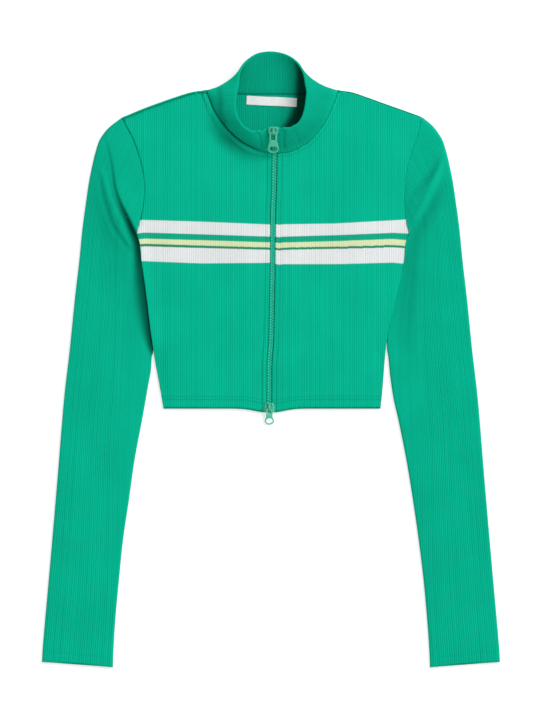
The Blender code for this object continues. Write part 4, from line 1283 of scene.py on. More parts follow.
@dataclass
class Sleeve:
    """A sleeve pressed flat: a tube open at armhole and cuff, with the creases of the armpit."""

    side: Side
    knit: RibKnit
    folds: tuple[Fold, ...]
    cap_line: tuple[tuple[float, float], ...]  # between the cap's slanting ribs and the rest
    long: float = 640.0
    thick: float = 3.8
    crown: float = 1.1  # how much the middle stands above the folds
    edge_gap: float = 0.12
    seam_lap: float = 0.12  # how far the sleeve's sewn edge runs into the front's
    sewn_y: tuple[float, float] = (132.0, 150.0)
    rib_columns: tuple[int, int] = (6, 186)  # numbers of the columns that lie on the ribs
    free_columns: int = 60
    low_columns: int = 108
    lining_columns: int = 42
    bend: tuple[float, ...] = (0.0, 0.2, 0.5, 0.95, 1.5, 2.1)  # columns round each fold
    cap_rows: int = 150
    arm_rows: int = 84
    cap_share: float = 0.26
    cuff: tuple[float, ...] = (
        0.974, 0.9775, 0.9795, 0.981, 0.9825, 0.9845, 0.99, 0.995, 0.9985, 1.0,
    )  # fmt: skip
    cuff_row: tuple[float, float] = (12.0, 0.9)  # the stitches' distance from the cuff and width
    cuff_bow: float = 1.1
    radii: tuple[float, float, float] = (2.6, 1.6, 2.0)  # of the upper face, its ribs, the lining
    cap_rib: tuple[float, float] = (0.89, 0.45)  # across the cap's ribs
    cap_from_y: float = 128.0
    rib_gain: float = 1.25
    cap_gain: float = 0.82
    gain_fade: tuple[float, float] = (0.5, 4.5)
    seam_looks: tuple[tuple[float, float], ...] = ((0.7, 0.3), (0.12, 0.0))  # depth and shade
    # Painted shade over the right sleeve's cap, evenly over the left sleeve, and inside
    cap_shade: float = 0.08
    left_shade: float = 0.06
    lining_shade: float = 0.25
    swell: tuple = ((0.25, 0.06, 0.021, 1.0), (0.2, -0.04, 0.013, 0.3), (0.15, 0.09, 0.034, 2.2))

    def __post_init__(self) -> None:
        """Works out the lines between which the sleeve is laid."""
        self.outer = even_path(CUT.mirrored(CUT.outer_fold, self.side), count=361)
        self.inner = even_path(CUT.sided(CUT.inner_edge, self.side), count=361)
        armhole = even_path(CUT.sided(CUT.armhole, self.side), count=181)
        armhole = armhole - np.array([self.side.value * self.seam_lap, 0.0])
        shares = np.linspace(0, 1, 181)[:, None]
        start, end = self.outer[0] - armhole[0], self.inner[0] - armhole[-1]
        self.armhole = armhole + (1 - shares) ** 70 * start + shares**30 * end

    def plan(self, across: Array, along: float) -> Array:
        """Places in plan.

        Args:
            across: Shares of the way from the outer fold to the inner edge.
            along: Share of the way from the armhole to the cuff.

        Returns:
            The places.
        """
        shares = np.linspace(0, 1, 361)
        outer, inner = (sample(line, shares, along) for line in (self.outer, self.inner))
        bow = sample(self.armhole, np.linspace(0, 1, 181), across)
        chord = self.armhole[0] + across[:, None] * (self.armhole[-1] - self.armhole[0])
        reach = 0.2 * (1.0 - across) ** 0.8 + 0.02
        fade = (1.0 - smoothstep(along / reach, 0.0, 1.0)) ** 1.3
        made = outer + across[:, None] * (inner - outer) + fade[:, None] * (bow - chord)
        sign = self.side.value
        y = made[:, 1]
        sewn = self.seam_lap * smoothstep(y, *self.sewn_y)
        under = np.maximum(CUT.tuck(y) - self.edge_gap, sewn)
        edge = CUT.edge_x(y, self.side) + sign * np.where(under > 0, -under, self.edge_gap)
        inward = (1.0 - smoothstep(1.0 - across, 0.0, 0.03)) * np.maximum(under, 0.0)
        made[:, 0] -= sign * inward * (along > 0.0)
        clear = sign * np.maximum(sign * made[:, 0], sign * edge)
        made[:, 0] = np.where(y > CUT.beside_body, clear, made[:, 0])
        return made

    def width(self, along: float) -> float:
        """The width at a share along the sleeve."""
        outer, inner = self.plan(np.array([0.0, 1.0]), along)
        return float(np.linalg.norm(inner - outer))

    def rib_place(self, points: Array, from_fold: Array) -> tuple[Array, Array]:
        """Places across the ribs, which slant in the cap and follow the fold elsewhere.

        Args:
            points: Places in plan.
            from_fold: Distance of each from the outer fold.

        Returns:
            The distance across the ribs, and their height, which sinks where two runs meet.
        """
        sign = self.side.value
        far = off_line(points, self.cap_line)[0] * -sign
        high_up = points[:, 1] > self.cap_from_y
        in_cap = high_up & (far > 0)
        slanted = -sign * self.cap_rib[0] * points[:, 0] - self.cap_rib[1] * points[:, 1]
        gain = np.where(high_up, smoothstep(np.abs(far), *self.gain_fade), 1.0)
        return np.where(in_cap, slanted, from_fold), np.where(in_cap, self.cap_gain * gain, gain)

    def rounding(self, distance: Array, width: float, radius: float) -> Array:
        """Share of the full half height, by distance from the nearer fold."""
        left = np.clip(1.0 - np.minimum(distance, width - distance) / radius, 0.0, 1.0)
        return np.sqrt(np.clip(1.0 - left**2, 0.0, 1.0))

    def top(self, points: Array, across: Array, width: float, along: float) -> tuple:
        """Height and shade of the upper face.

        Args:
            points: Places in plan.
            across: Distance of each from the outer fold.
            width: The sleeve's width here.
            along: Share along the sleeve.

        Returns:
            The heights, the shades and the distances across the ribs.
        """
        at_seam = CUT.cloth * 2 + CUT.seam + CUT.air
        flat = at_seam + (self.thick - at_seam) * smoothstep(along, 0.02, 0.16)
        share = across / width
        crown = self.crown * (4 * share * (1 - share)) ** 0.6 * smoothstep(along, 0, 0.1)
        lift, shade = folded(points, self.folds)
        ease = smoothstep(along, -0.004, 0.02)
        full = flat + crown + (lift + waves(points, self.swell)) * ease
        middle = self.thick / 2
        high = middle + (full - middle) * self.rounding(across, width, self.radii[0])
        place, gain = self.rib_place(points, across)
        relief, valley = self.knit.relief(place, points[:, 1])
        relief = self.rib_gain * relief * gain * self.rounding(across, width, self.radii[1])
        row = groove((1.0 - along) * self.long, *self.cuff_row)
        seam = bell(along * self.long, 1.2)
        deep, dark = self.side.pick(*self.seam_looks)
        cap = self.cap_shade * (1.0 - smoothstep(along, 0.1, 0.3))
        shade = shaded(shade, valley, dark * seam, self.side.pick(cap, self.left_shade))
        return high + relief - 0.25 * row - deep * seam, np.maximum(shade, 0.14 * row), place

    def rows(self) -> Array:
        """Shares along the sleeve at which it has a ring."""
        cap = np.linspace(0, self.cap_share, self.cap_rows, endpoint=False)
        arm = np.linspace(self.cap_share, self.cuff[0], self.arm_rows, endpoint=False)
        return np.concatenate([cap, arm, self.cuff])

    def ring(self, along: float) -> tuple[Array, Array, Array, Array]:
        """One outer ring: its points, their places in the knit, shade, and shares round."""
        width = self.width(along)
        bend = np.array(self.bend)
        inner = np.arange(*self.rib_columns) * self.knit.pitch / 6
        free = np.linspace(inner[-1], width - self.radii[0], self.free_columns + 1)[1:]
        across = np.concatenate([bend, inner, free, width - bend[::-1]])
        points = self.plan(across / width, along)
        high, shade, place = self.top(points, across, width, along)
        middle = self.thick / 2
        if along == 1.0:
            points[:, 1] += self.cuff_bow * np.sin(np.pi * across / width) ** 2
            high = middle + (high - middle) * 0.8
        under = np.linspace(1.6, width - 1.6, self.low_columns)
        under = np.concatenate([[0.4], under, [width - 0.4]])
        low_points = self.plan(under / width, along)
        depth, low_shade = self.knit.pressed(under, low_points[:, 1])
        low = middle * (1 - self.rounding(under, width, middle)) + depth
        low_points = np.column_stack([low_points, low])[::-1]
        made = np.vstack([np.column_stack([points, high]), low_points])
        run = np.concatenate([place, (2 * width - under)[::-1]])
        shade = np.concatenate([shade, low_shade[::-1]])
        return made, np.column_stack([run, made[:, 1]]), shade, across / width

    def lining(self, along: float) -> tuple[Array, Array]:
        """One plain inner ring: its points, and the shares of its upper ones."""
        width = self.width(along)
        shares = np.linspace(0.0, 1.0, self.lining_columns)
        across = CUT.cloth + shares * (width - 2 * CUT.cloth)
        points = self.plan(across / width, along)
        full = self.top(points, across, width, along)[0]
        if along == 1.0:
            points[:, 1] += self.cuff_bow * np.sin(np.pi * across / width) ** 2
        middle = self.thick / 2
        room = self.rounding(across - CUT.cloth, width - 2 * CUT.cloth, self.radii[2])
        high = middle + np.maximum(full - CUT.cloth - self.knit.high - middle, 0.1) * room
        low = middle - (middle - CUT.cloth) * room
        lower = np.column_stack([points, low])[1:-1][::-1]
        return np.vstack([np.column_stack([points, high]), lower]), shares

    def build(self, material: Finish) -> Piece:
        """Makes the tube.

        Args:
            material: Its finish.

        Returns:
            The piece.
        """
        shell = Shell()
        rows = self.rows()
        rings, linings, shares = [], [], []
        for along in rows.tolist():
            points, uv, shade, share = self.ring(along)
            rings.append(shell.add(points, uv, shade))
            shares.append(share)
        for along in [*rows[:3], *rows[3:-1:6], rows[-1]]:
            points, places = self.lining(along)
            linings.append(shell.add(points, points[:, :2], self.lining_shade))
        for each in (rings, linings):
            shell.grid(np.array([np.append(ring, ring[0]) for ring in each]))
        for end in (0, -1):
            ring, lining, share = rings[end], linings[end], shares[end]
            shell.stitch(ring[: len(share)], lining[: len(places)], share, places)
            low_ring = np.append(ring[len(share) - 1 :], ring[0])
            low_lining = np.append(lining[len(places) - 1 :], lining[0])
            at_ring, at_lining = (np.linspace(0, 1, len(low)) for low in (low_ring, low_lining))
            shell.stitch(low_ring, low_lining, at_ring, at_lining)
        made = shell.build(f"sleeve_{self.side.word}_knit")
        dress(made, material)
        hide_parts(f"sleeve_{self.side.word}")
        return made


# Creases of the right sleeve; the first trough, beside the body, holds a deep painted shadow
RIGHT_FOLDS = (
    Fold(
        FoldKind.TROUGH,
        (
            (-194.0, 258.0, 0.0, 0.0, 6.0), (-189.0, 243.0, 0.8, 0.05, 6.0),
            (-184.5, 222.0, 1.6, 0.12, 5.5), (-181.2, 198.4, 2.6, 0.24, 4.8),
            (-175.0, 180.0, 3.6, 0.46, 4.4), (-167.0, 164.2, 4.5, 0.78, 4.8),
            (-160.6, 151.0, 4.8, 0.92, 5.6), (-154.4, 137.5, 4.8, 0.92, 6.6),
            (-152.0, 121.6, 4.8, 0.9, 6.4), (-150.0, 106.0, 4.6, 0.84, 8.4),
            (-147.0, 90.0, 4.6, 0.84, 11.0), (-143.6, 67.0, 4.2, 0.84, 11.8),
            (-140.2, 42.0, 3.6, 0.86, 10.6), (-138.0, 24.0, 2.6, 0.88, 8.0),
            (-136.8, 11.0, 1.4, 0.86, 4.6), (-136.8, 3.0, 0.5, 0.3, 3.0),
            (-136.8, -12.0, 0.0, 0.0, 3.0),
        ),
        left=2.2, right=9.5, bank=22.0, shade_left=2.2, blunt=1.4,
    ),
    Fold(
        FoldKind.RIDGE,
        (
            (-196.0, 222.0, 0.0, 0.0, 4.0), (-192.5, 208.0, 1.3, 0.0, 4.0),
            (-186.5, 190.0, 2.0, 0.0, 4.0), (-179.5, 172.0, 1.8, 0.0, 4.0),
            (-171.0, 155.0, 1.0, 0.0, 4.0), (-164.0, 141.0, 0.0, 0.0, 4.0),
        ),
        left=5.0, right=4.0,
    ),
    Fold(
        FoldKind.TROUGH,
        (
            (-197.5, 216.0, 0.0, 0.0, 3.4), (-196.0, 201.1, 1.0, 0.1, 3.2),
            (-193.4, 186.9, 1.5, 0.17, 3.2), (-187.0, 167.3, 1.7, 0.2, 3.0),
            (-180.5, 151.2, 1.6, 0.21, 3.0), (-168.8, 134.0, 1.3, 0.19, 3.2),
            (-161.5, 124.0, 0.8, 0.13, 3.4), (-157.0, 112.0, 0.0, 0.0, 3.4),
        ),
        left=3.2, right=4.2, bank=9.0, shade_left=2.8,
    ),
)  # fmt: skip
LEFT_FOLDS = (
    Fold(
        FoldKind.RIDGE,
        (
            (201.5, 250.0, 0.0, 0.0, 4.0), (198.4, 237.8, 1.4, 0.0, 4.0),
            (192.5, 220.2, 2.8, 0.0, 4.0), (186.6, 202.6, 3.6, 0.0, 4.0),
            (179.6, 188.6, 3.8, 0.0, 4.0), (171.4, 172.2, 3.4, 0.0, 4.0),
            (165.5, 160.4, 2.4, 0.0, 4.0), (161.0, 150.0, 0.8, 0.0, 4.0),
            (158.0, 142.0, 0.0, 0.0, 4.0),
        ),
        left=5.0, right=7.0,
    ),
    Fold(
        FoldKind.TROUGH,
        (
            (198.0, 243.0, 0.0, 0.0, 5.0), (195.0, 234.0, 1.0, 0.08, 5.0),
            (189.0, 223.0, 1.7, 0.17, 5.0), (181.5, 211.0, 1.9, 0.2, 5.0),
            (172.0, 199.5, 1.6, 0.16, 5.0), (163.0, 189.0, 1.0, 0.11, 5.0),
            (156.5, 182.5, 0.0, 0.06, 5.0),
        ),
        left=4.5, right=5.0, bank=11.0, shade_left=4.0,
    ),
    Fold(
        FoldKind.TROUGH,
        (
            (200.0, 212.0, 0.0, 0.0, 4.0), (195.0, 200.0, 0.6, 0.11, 4.0),
            (188.5, 184.0, 1.0, 0.19, 4.5), (181.0, 170.0, 1.2, 0.2, 5.0),
            (173.0, 157.0, 1.2, 0.2, 5.0), (166.5, 144.0, 1.0, 0.22, 6.0),
            (162.5, 122.0, 0.8, 0.22, 8.0), (160.5, 91.0, 0.7, 0.2, 9.0),
            (158.0, 58.0, 0.5, 0.17, 10.0), (156.5, 30.0, 0.3, 0.12, 9.0),
            (156.5, -10.0, 0.0, 0.0, 8.0),
        ),
        left=7.0, right=3.5, bank=12.0, shade_left=9.0,
    ),
    Fold(
        FoldKind.TROUGH,
        (
            (166.0, 196.0, 0.0, 0.0, 5.0), (159.5, 186.0, 0.4, 0.12, 6.0),
            (156.0, 172.0, 0.6, 0.16, 6.0), (156.5, 160.0, 0.3, 0.08, 5.0),
            (158.5, 152.0, 0.0, 0.0, 5.0),
        ),
        left=5.0, right=4.0, bank=10.0, shade_left=5.0,
    ),
)  # fmt: skip
RIGHT_CAP_LINE = (
    (-205.0, 275.0), (-196.0, 262.0), (-189.0, 243.0), (-184.5, 222.0),
    (-181.2, 198.4), (-175.0, 180.0), (-167.0, 164.2), (-154.0, 138.0),
)  # fmt: skip
LEFT_CAP_LINE = (
    (207.0, 262.0), (200.5, 240.0), (195.0, 222.0), (188.5, 203.0),
    (181.0, 187.0), (172.5, 171.0), (163.0, 152.0), (158.0, 140.0),
)  # fmt: skip


# Collar


@dataclass
class Collar:
    """The doubled stand collar: ribbed, rounded over its rim, and open at the zip."""

    knit: RibKnit
    thick: float = 2.6
    rib: float = 3.1
    high: float = 46.0
    # Painted shade over the inner face, on the rim, and where the outer face turns towards the light:
    # over the left front, and more on its side
    inner_shade: float = 0.16
    lit_shade: tuple[float, float] = (0.27, 0.08)  # the left front, and what more its side has
    rim_shade: float = 0.3
    raised: float = 1.9  # how much higher the foot is sewn where it meets the front's top
    close: float = 0.85  # how far the foot reaches over the seam at the left
    close_x: tuple[float, float] = (-22.0, -6.0)
    samples: int = 6
    shares: tuple[float, ...] = (
        0.0, 0.03, 0.07, 0.13, 0.2, 0.28, 0.36, 0.44, 0.52, 0.6, 0.68, 0.76, 0.84, 0.91, 0.96, 1.0,
    )  # fmt: skip
    rim_turns: int = 5
    # Soft hollows of the outer face: line, width, depth and painted shade
    hollows: tuple = (
        (((-60.5, 309.0), (-58.8, 298.0), (-58.4, 283.0), (-53.0, 272.5)), 3.4, 1.0, 0.26),
        (((-17.0, 263.0), (-13.0, 255.0), (-11.5, 247.0), (-10.5, 242.0)), 1.8, 0.7, 0.16),
        (((60.0, 300.0), (55.0, 289.0), (49.0, 280.0)), 4.5, 0.6, 0.0),
        (((14.5, 262.0), (13.6, 252.0), (14.5, 243.0)), 1.9, 0.6, 0.12),
        (((27.0, 262.0), (30.0, 255.0), (31.0, 248.0)), 1.6, 0.3, 0.06),
    )

    def middle(self, places: Array, share: float) -> Array:
        """The collar's middle surface.

        Args:
            places: Places round the neck, counted in knots.
            share: Share of the collar's height.

        Returns:
            The surface's points.
        """
        rows = spline(CUT.neck, places)
        seam, rim, rim_z, steep = rows[:, :2], rows[:, 2:4], rows[:, 4], np.clip(rows[:, 5], 0, 1)
        toward = rim - seam
        toward = toward / np.linalg.norm(toward, axis=1)[:, None]
        closed = smoothstep(seam[:, 0], *self.close_x)
        out = self.thick / 2 + 0.1 - self.close * closed
        foot = seam + toward * (CUT.seam + out * steep)[:, None]
        foot_z = self.thick / 2 + 1.4 * smoothstep(steep, 0.3, 0.9)
        foot_z = foot_z + self.raised * closed * smoothstep(steep, 0.5, 0.9)
        plan_share = steep * share**1.08 + (1 - steep) * share
        dome = 0.3 * math.sin(share * math.pi / 2) ** 0.85 + 0.7 * share**0.95
        rise = steep * dome + (1 - steep) * share**1.8
        plan = foot + (rim - foot) * plan_share[:, None]
        front = bell(np.minimum(places, len(CUT.neck) - 1 - places), 3.0)
        wavy = share**3 * front * (0.9 * np.sin(places * 4.1) + 0.6 * np.sin(places * 7.3 + 1.0))
        plan[:, 1] += 0.55 * wavy
        return np.column_stack([plan, foot_z + (rim_z - foot_z) * rise + 0.5 * wavy])

    def outward(self, places: Array, share: float) -> Array:
        """The surface's outward direction."""
        step, high = 0.02, min(share + 0.01, 1.0)
        along = self.middle(places + step, share) - self.middle(places - step, share)
        along[0], along[-1] = along[1], along[-2]
        up = self.middle(places, high) - self.middle(places, max(high - step, 0.0))
        out = np.cross(up, along)
        return out / np.linalg.norm(out, axis=1)[:, None]

    def places(self) -> tuple[Array, Array]:
        """Places round the neck, an even distance apart, and that distance run."""
        fine = np.linspace(0, len(CUT.neck) - 1, 900)
        run = run_of(self.middle(fine, 0.45))
        ribs = round(run[-1] / self.rib)
        even = np.linspace(0, run[-1], ribs * self.samples + 1)
        return np.interp(even, run, fine), np.linspace(0, ribs * self.knit.pitch, len(even))

    def dents(self, points: Array, share: float) -> tuple[Array, Array]:
        """Depth and shade of the outer face's hollows."""
        depth, shade = np.zeros(len(points)), np.zeros(len(points))
        for line, width, deep, dark in self.hollows:
            near = bell(from_line(points[:, :2], even_path(line, count=24)), width)
            depth += deep * near
            shade = np.maximum(shade, dark * near)
        inner = window(share, 0.0, 0.12, 0.9, 1.0)
        return depth * inner, shade * inner

    def ribs(self, run: Array, share: float) -> tuple[Array, Array]:
        """Height of the ribs, which sink at the zip, and how dark their valleys are."""
        relief, shade = self.knit.relief(run, np.full(len(run), share * self.high))
        return relief * smoothstep(np.minimum(run, run[-1] - run), 0.0, 2.5), shade

    def outer_row(self, places: Array, run: Array, share: float) -> tuple[Array, Array]:
        """Points and shade of the outer face at a share of its height."""
        middle, out = self.middle(places, share), self.outward(places, share)
        x = middle[:, 0]
        relief, shade = self.ribs(run, share)
        relief = relief * (0.35 + 0.15 * bell(share - 0.2, 0.3))
        depth, dark = self.dents(middle, share)
        points = middle + out * (self.thick / 2 + relief - depth)[:, None]
        steep = spline(CUT.neck, places)[:, 5]
        points[:, 2] = np.maximum(points[:, 2], 0.25 * (1 - steep))
        # Painted shade at the right foot and where the face turns towards the light
        foot = 0.35 * smoothstep(-x, 12.0, 32.0) * bell(share * self.high, 1.3)
        lit = self.lit_shade[0] * smoothstep(x, -2.0, 6.0)
        lit = lit * (0.45 + 0.55 * smoothstep(share, 0.06, 0.3))
        lit = lit + self.lit_shade[1] * smoothstep(x, 28.0, 50.0)
        return points, shaded(shade * 0.6, dark, foot, lit)

    def inner_row(self, places: Array, run: Array, share: float) -> tuple[Array, Array]:
        """Points and shade of the inner face at a share of its height."""
        middle, out = self.middle(places, share), self.outward(places, share)
        relief, shade = self.ribs(run, share)
        steep = smoothstep(spline(CUT.neck, places)[:, 5], 0.3, 0.9)
        relief = relief * 0.6 * (1 - 0.9 * steep) * smoothstep(1 - share, 0.0, 0.1)
        # Painted shade at the foot, painted shadow inside the neck, and an even painted shade
        foot = 0.15 * bell(share * self.high, 4.4)
        hidden = CUT.cavity_shade(middle[:, :2])
        points = middle - out * (self.thick / 2 + relief)[:, None]
        return points, shaded(shade, hidden, foot, self.inner_shade)

    def build(self, material: Finish) -> Piece:
        """Makes the collar.

        Args:
            material: Its finish.

        Returns:
            The piece.
        """
        places, run = self.places()
        shell, rows = Shell(), []

        def add(points: Array, shade: Array | float, along: float) -> None:
            """Adds a row of points at a distance along the knit."""
            rows.append(shell.add(points, np.column_stack([run, np.full(len(run), along)]), shade))

        for share in self.shares:
            add(*self.outer_row(places, run, share), share * self.high)
        top, out = self.middle(places, 1.0), self.outward(places, 1.0)
        rise = top - self.middle(places, 0.97)
        rise = rise / np.linalg.norm(rise, axis=1)[:, None]
        for turn in np.linspace(0, math.pi, self.rim_turns + 2)[1:-1]:
            bow = out * math.cos(turn) + 0.8 * rise * math.sin(turn)
            add(top + self.thick / 2 * bow, self.rim_shade, self.high + turn)
        for share in self.shares[::-1]:
            add(*self.inner_row(places, run, share), 2 * self.high - share * self.high)
        shell.grid(np.array(rows + rows[:1]))
        for end in (0, -1):
            ring = [int(row[end]) for row in rows]
            while len(ring) > 3:
                shell.faces.append([ring[0], ring[1], ring[-2], ring[-1]])
                ring = ring[1:-1]
            if len(ring) == 3:
                shell.faces.append(ring)
        made = shell.build("collar_knit")
        dress(made, material)
        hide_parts("collar")
        return made


# Zip


@dataclass
class ZipPath:
    """The zip's middle from the hem, under the chest and up over the collar."""

    collar: Collar
    body_z: float = 2.6
    body_y: tuple[float, float] = (-60.6, 232.0)
    turn_y: float = 235.5
    turn_rise: float = 0.2

    def __post_init__(self) -> None:
        """Works out the path and the distance run along it."""
        rows = [(y, self.body_z) for y in np.linspace(*self.body_y, 40)]
        rows.append((self.turn_y, self.body_z + self.turn_rise))
        for share in np.linspace(0.14, 1.0, 12):
            right, left = (
                self.collar.middle(np.array([place, place + 0.001]), share)[0]
                for place in (0.0, len(CUT.neck) - 1.001)
            )
            rows.append(tuple(((right + left) / 2)[1:]))
        self.line = np.array([(float(CUT.zip_x(y)), y, z) for y, z in rows])
        self.run = run_of(self.line)

    def at(self, distance: float) -> tuple[Vector, Vector, Vector]:
        """Place, direction and upward direction at a distance along the zip."""
        here, along = between(self.line, self.run, distance, 0.5)
        return here, along, Vector((1, 0, 0)).cross(along).normalized()


def between(line: Array, run: Array, distance: float, reach: float) -> tuple[Vector, Vector]:
    """Place and direction on a line.

    Args:
        line: Its points.
        run: The distance run at each.
        distance: Where the place is.
        reach: How far the direction is looked for on both sides.

    Returns:
        The place and the direction.
    """
    before, after = (Vector(sample(line, run, distance + step)) for step in (-reach, reach))
    return (before + after) / 2, (after - before).normalized()


@contextmanager
def editing(piece: Piece) -> Iterator[bmesh.types.BMesh]:
    """Edit mode for a piece, with its mesh."""
    bpy.context.view_layer.objects.active = piece
    bpy.ops.object.mode_set(mode="EDIT")
    yield bmesh.from_edit_mesh(piece.data)
    bpy.ops.object.mode_set(mode="OBJECT")


def turned(degrees: float, axis: str, at: Vector = Vector()) -> Matrix:
    """A turn round an axis and a place in millimetres, as a matrix in metres."""
    return Matrix.Translation(at * MM) @ Matrix.Rotation(math.radians(degrees), 4, axis)


class Primitive:
    """Starts pieces from Blender's primitives and shapes them in edit mode."""

    @staticmethod
    def cube(name: str, size: tuple, at: tuple = (0, 0, 0)) -> Piece:
        """A block of a size in millimetres, with its scale applied."""
        bpy.ops.object.select_all(action="DESELECT")
        place = [part * MM for part in at]
        bpy.ops.mesh.primitive_cube_add(size=1.0, location=place, scale=[s * MM for s in size])
        made = bpy.context.object
        made.name = made.data.name = name
        bpy.ops.object.transform_apply(location=True, rotation=True, scale=True)
        return made

    @staticmethod
    def split(piece: Piece, cuts: int) -> None:
        """Divides all faces, in edit mode."""
        with editing(piece):
            bpy.ops.mesh.select_all(action="SELECT")
            bpy.ops.mesh.subdivide(number_cuts=cuts)

    @staticmethod
    def stretch(piece: Piece, pick: object, scale: tuple, move: tuple = (0, 0, 0)) -> None:
        """Scales and moves the points that a test picks, in edit mode.

        Args:
            piece: The object.
            pick: A test of a point's place in millimetres.
            scale: Factors about the picked points' middle.
            move: How far they move, in millimetres.
        """
        with editing(piece) as shape:
            for vertex in shape.verts:
                vertex.select = bool(pick(vertex.co / MM))
            shape.select_flush_mode()
            bmesh.update_edit_mesh(piece.data)
            picked = [v.co.copy() for v in shape.verts if v.select]
            centre = sum(picked, Vector()) / len(picked)
            bpy.ops.transform.resize(value=scale, center_override=centre)
            bpy.ops.transform.translate(value=[part * MM for part in move])

    @staticmethod
    def bevel(piece: Piece, width: float, segments: int = 2, angle: float = 30.0) -> None:
        """Rounds the piece's sharp edges, and applies the modifier."""
        rounder = piece.modifiers.new("round", "BEVEL")
        rounder.width, rounder.segments = width * MM, segments
        rounder.limit_method, rounder.angle_limit = "ANGLE", math.radians(angle)
        Primitive.apply(piece)

    @staticmethod
    def cut(piece: Piece, other: Piece, operation: str = "DIFFERENCE") -> None:
        """Cuts or joins with another object, which is then removed."""
        change = piece.modifiers.new("cut", "BOOLEAN")
        change.operation, change.object = operation, other
        Primitive.apply(piece)
        bpy.data.objects.remove(other, do_unlink=True)

    @staticmethod
    def apply(piece: Piece) -> None:
        """Applies the piece's modifiers."""
        bpy.ops.object.select_all(action="DESELECT")
        bpy.context.view_layer.objects.active = piece
        piece.select_set(True)
        for modifier in list(piece.modifiers):
            bpy.ops.object.modifier_apply(modifier=modifier.name)

    @staticmethod
    def finish(piece: Piece, place: Matrix, angle: float = 40.0) -> None:
        """Smooths the piece up to an angle and moves its mesh, not its object, to its place."""
        piece.data.shade_smooth()
        piece.data.set_sharp_from_angle(angle=math.radians(angle))
        piece.data.transform(place)
        piece.data.update()


def copies(name: str, model: Piece, places: list[Matrix]) -> Piece:
    """One mesh that repeats a small model, which is then removed.

    Args:
        name: The new piece's name.
        model: What is repeated.
        places: Where each copy goes.

    Returns:
        The piece.
    """
    points = np.array([[*v.co, 1.0] for v in model.data.vertices])
    faces = [list(p.vertices) for p in model.data.polygons]
    all_points = np.vstack([points @ np.array(matrix).T[:, :3] for matrix in places])
    starts = range(0, len(all_points), len(points))
    all_faces = [[v + start for v in face] for start in starts for face in faces]
    mesh = bpy.data.meshes.new(name)
    mesh.from_pydata(all_points.tolist(), [], all_faces)
    mesh.shade_smooth()
    bpy.data.objects.remove(model, do_unlink=True)
    return added(name, mesh)


def stand(at: Vector, *axes: Vector) -> Matrix:
    """A matrix that puts a model in metres at a place in millimetres, along three axes."""
    return Matrix((*zip(*axes, [part * MM for part in at]), (0, 0, 0, 1)))


@dataclass
class ZipHalf:
    """Tape and moulded teeth of one side."""

    side: Side
    path: ZipPath
    tooth_pitch: float = 3.17
    tooth_high: float = 0.7
    first_tooth: float = 2.0
    tape_reach: float = 9.0
    collar_reach: float = 2.75
    collar_y: float = 231.0
    # The tape's section: distance from the zip's middle, and height
    section: tuple = (
        (0.12, -0.7), (0.12, 0.95), (0.5, 1.2), (2.6, 1.2),
        (2.95, 0.8), (3.05, 0.1), (9.0, 0.05), (9.0, -0.7),
    )  # fmt: skip

    def tape(self, material: Finish) -> Piece:
        """The woven tape with its corded edge along the teeth."""
        shell, rows = Shell(), []
        for distance in np.linspace(0.0, self.path.run[-1], 150):
            at, _, up = self.path.at(distance)
            reach = self.collar_reach if at.y > self.collar_y else self.tape_reach
            points = np.array([
                at + Vector((self.side.value * min(across, reach), 0, 0)) + up * high
                for across, high in self.section
            ])  # fmt: skip
            rows.append(shell.add(points, points[:, :2], 0.0))
        shell.grid(np.array([np.append(row, row[0]) for row in rows]))
        shell.faces += [rows[0].tolist(), rows[-1].tolist()]
        made = shell.build(f"tape_{self.side.word}")
        made.data.set_sharp_from_angle(angle=math.radians(50))
        dress(made, material)
        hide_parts(f"zip_{self.side.word}")
        return made

    def tooth(self) -> Piece:
        """One tooth: a rounded block, with a lower head that meets the other side's teeth."""
        model = Primitive.cube("tooth", (2.0, 1.9, 1.7), (1.6, 0, 0))
        Primitive.stretch(model, lambda p: p.z > 0, (0.84, 0.82, 1))
        Primitive.bevel(model, 0.5, 2)
        head = Primitive.cube("head", (1.9, 1.2, 1.1), (0.2, 0, -0.2))
        Primitive.bevel(head, 0.2, 1)
        Primitive.cut(model, head, "UNION")
        return model

    def teeth(self, material: Finish, stop: float) -> Piece:
        """The row of teeth, up to the distance at which the slider covers them."""
        places = []
        distance = self.first_tooth + self.side.pick(0.0, self.tooth_pitch / 2)
        while distance < stop:
            at, along, up = self.path.at(distance)
            places.append(stand(at + up * self.tooth_high, Vector((self.side.value, 0, 0)), along, up))
            distance += self.tooth_pitch
        made = copies(f"teeth_{self.side.word}", self.tooth(), places)
        if self.side is Side.RIGHT:
            made.data.flip_normals()
        dress(made, material)
        return made


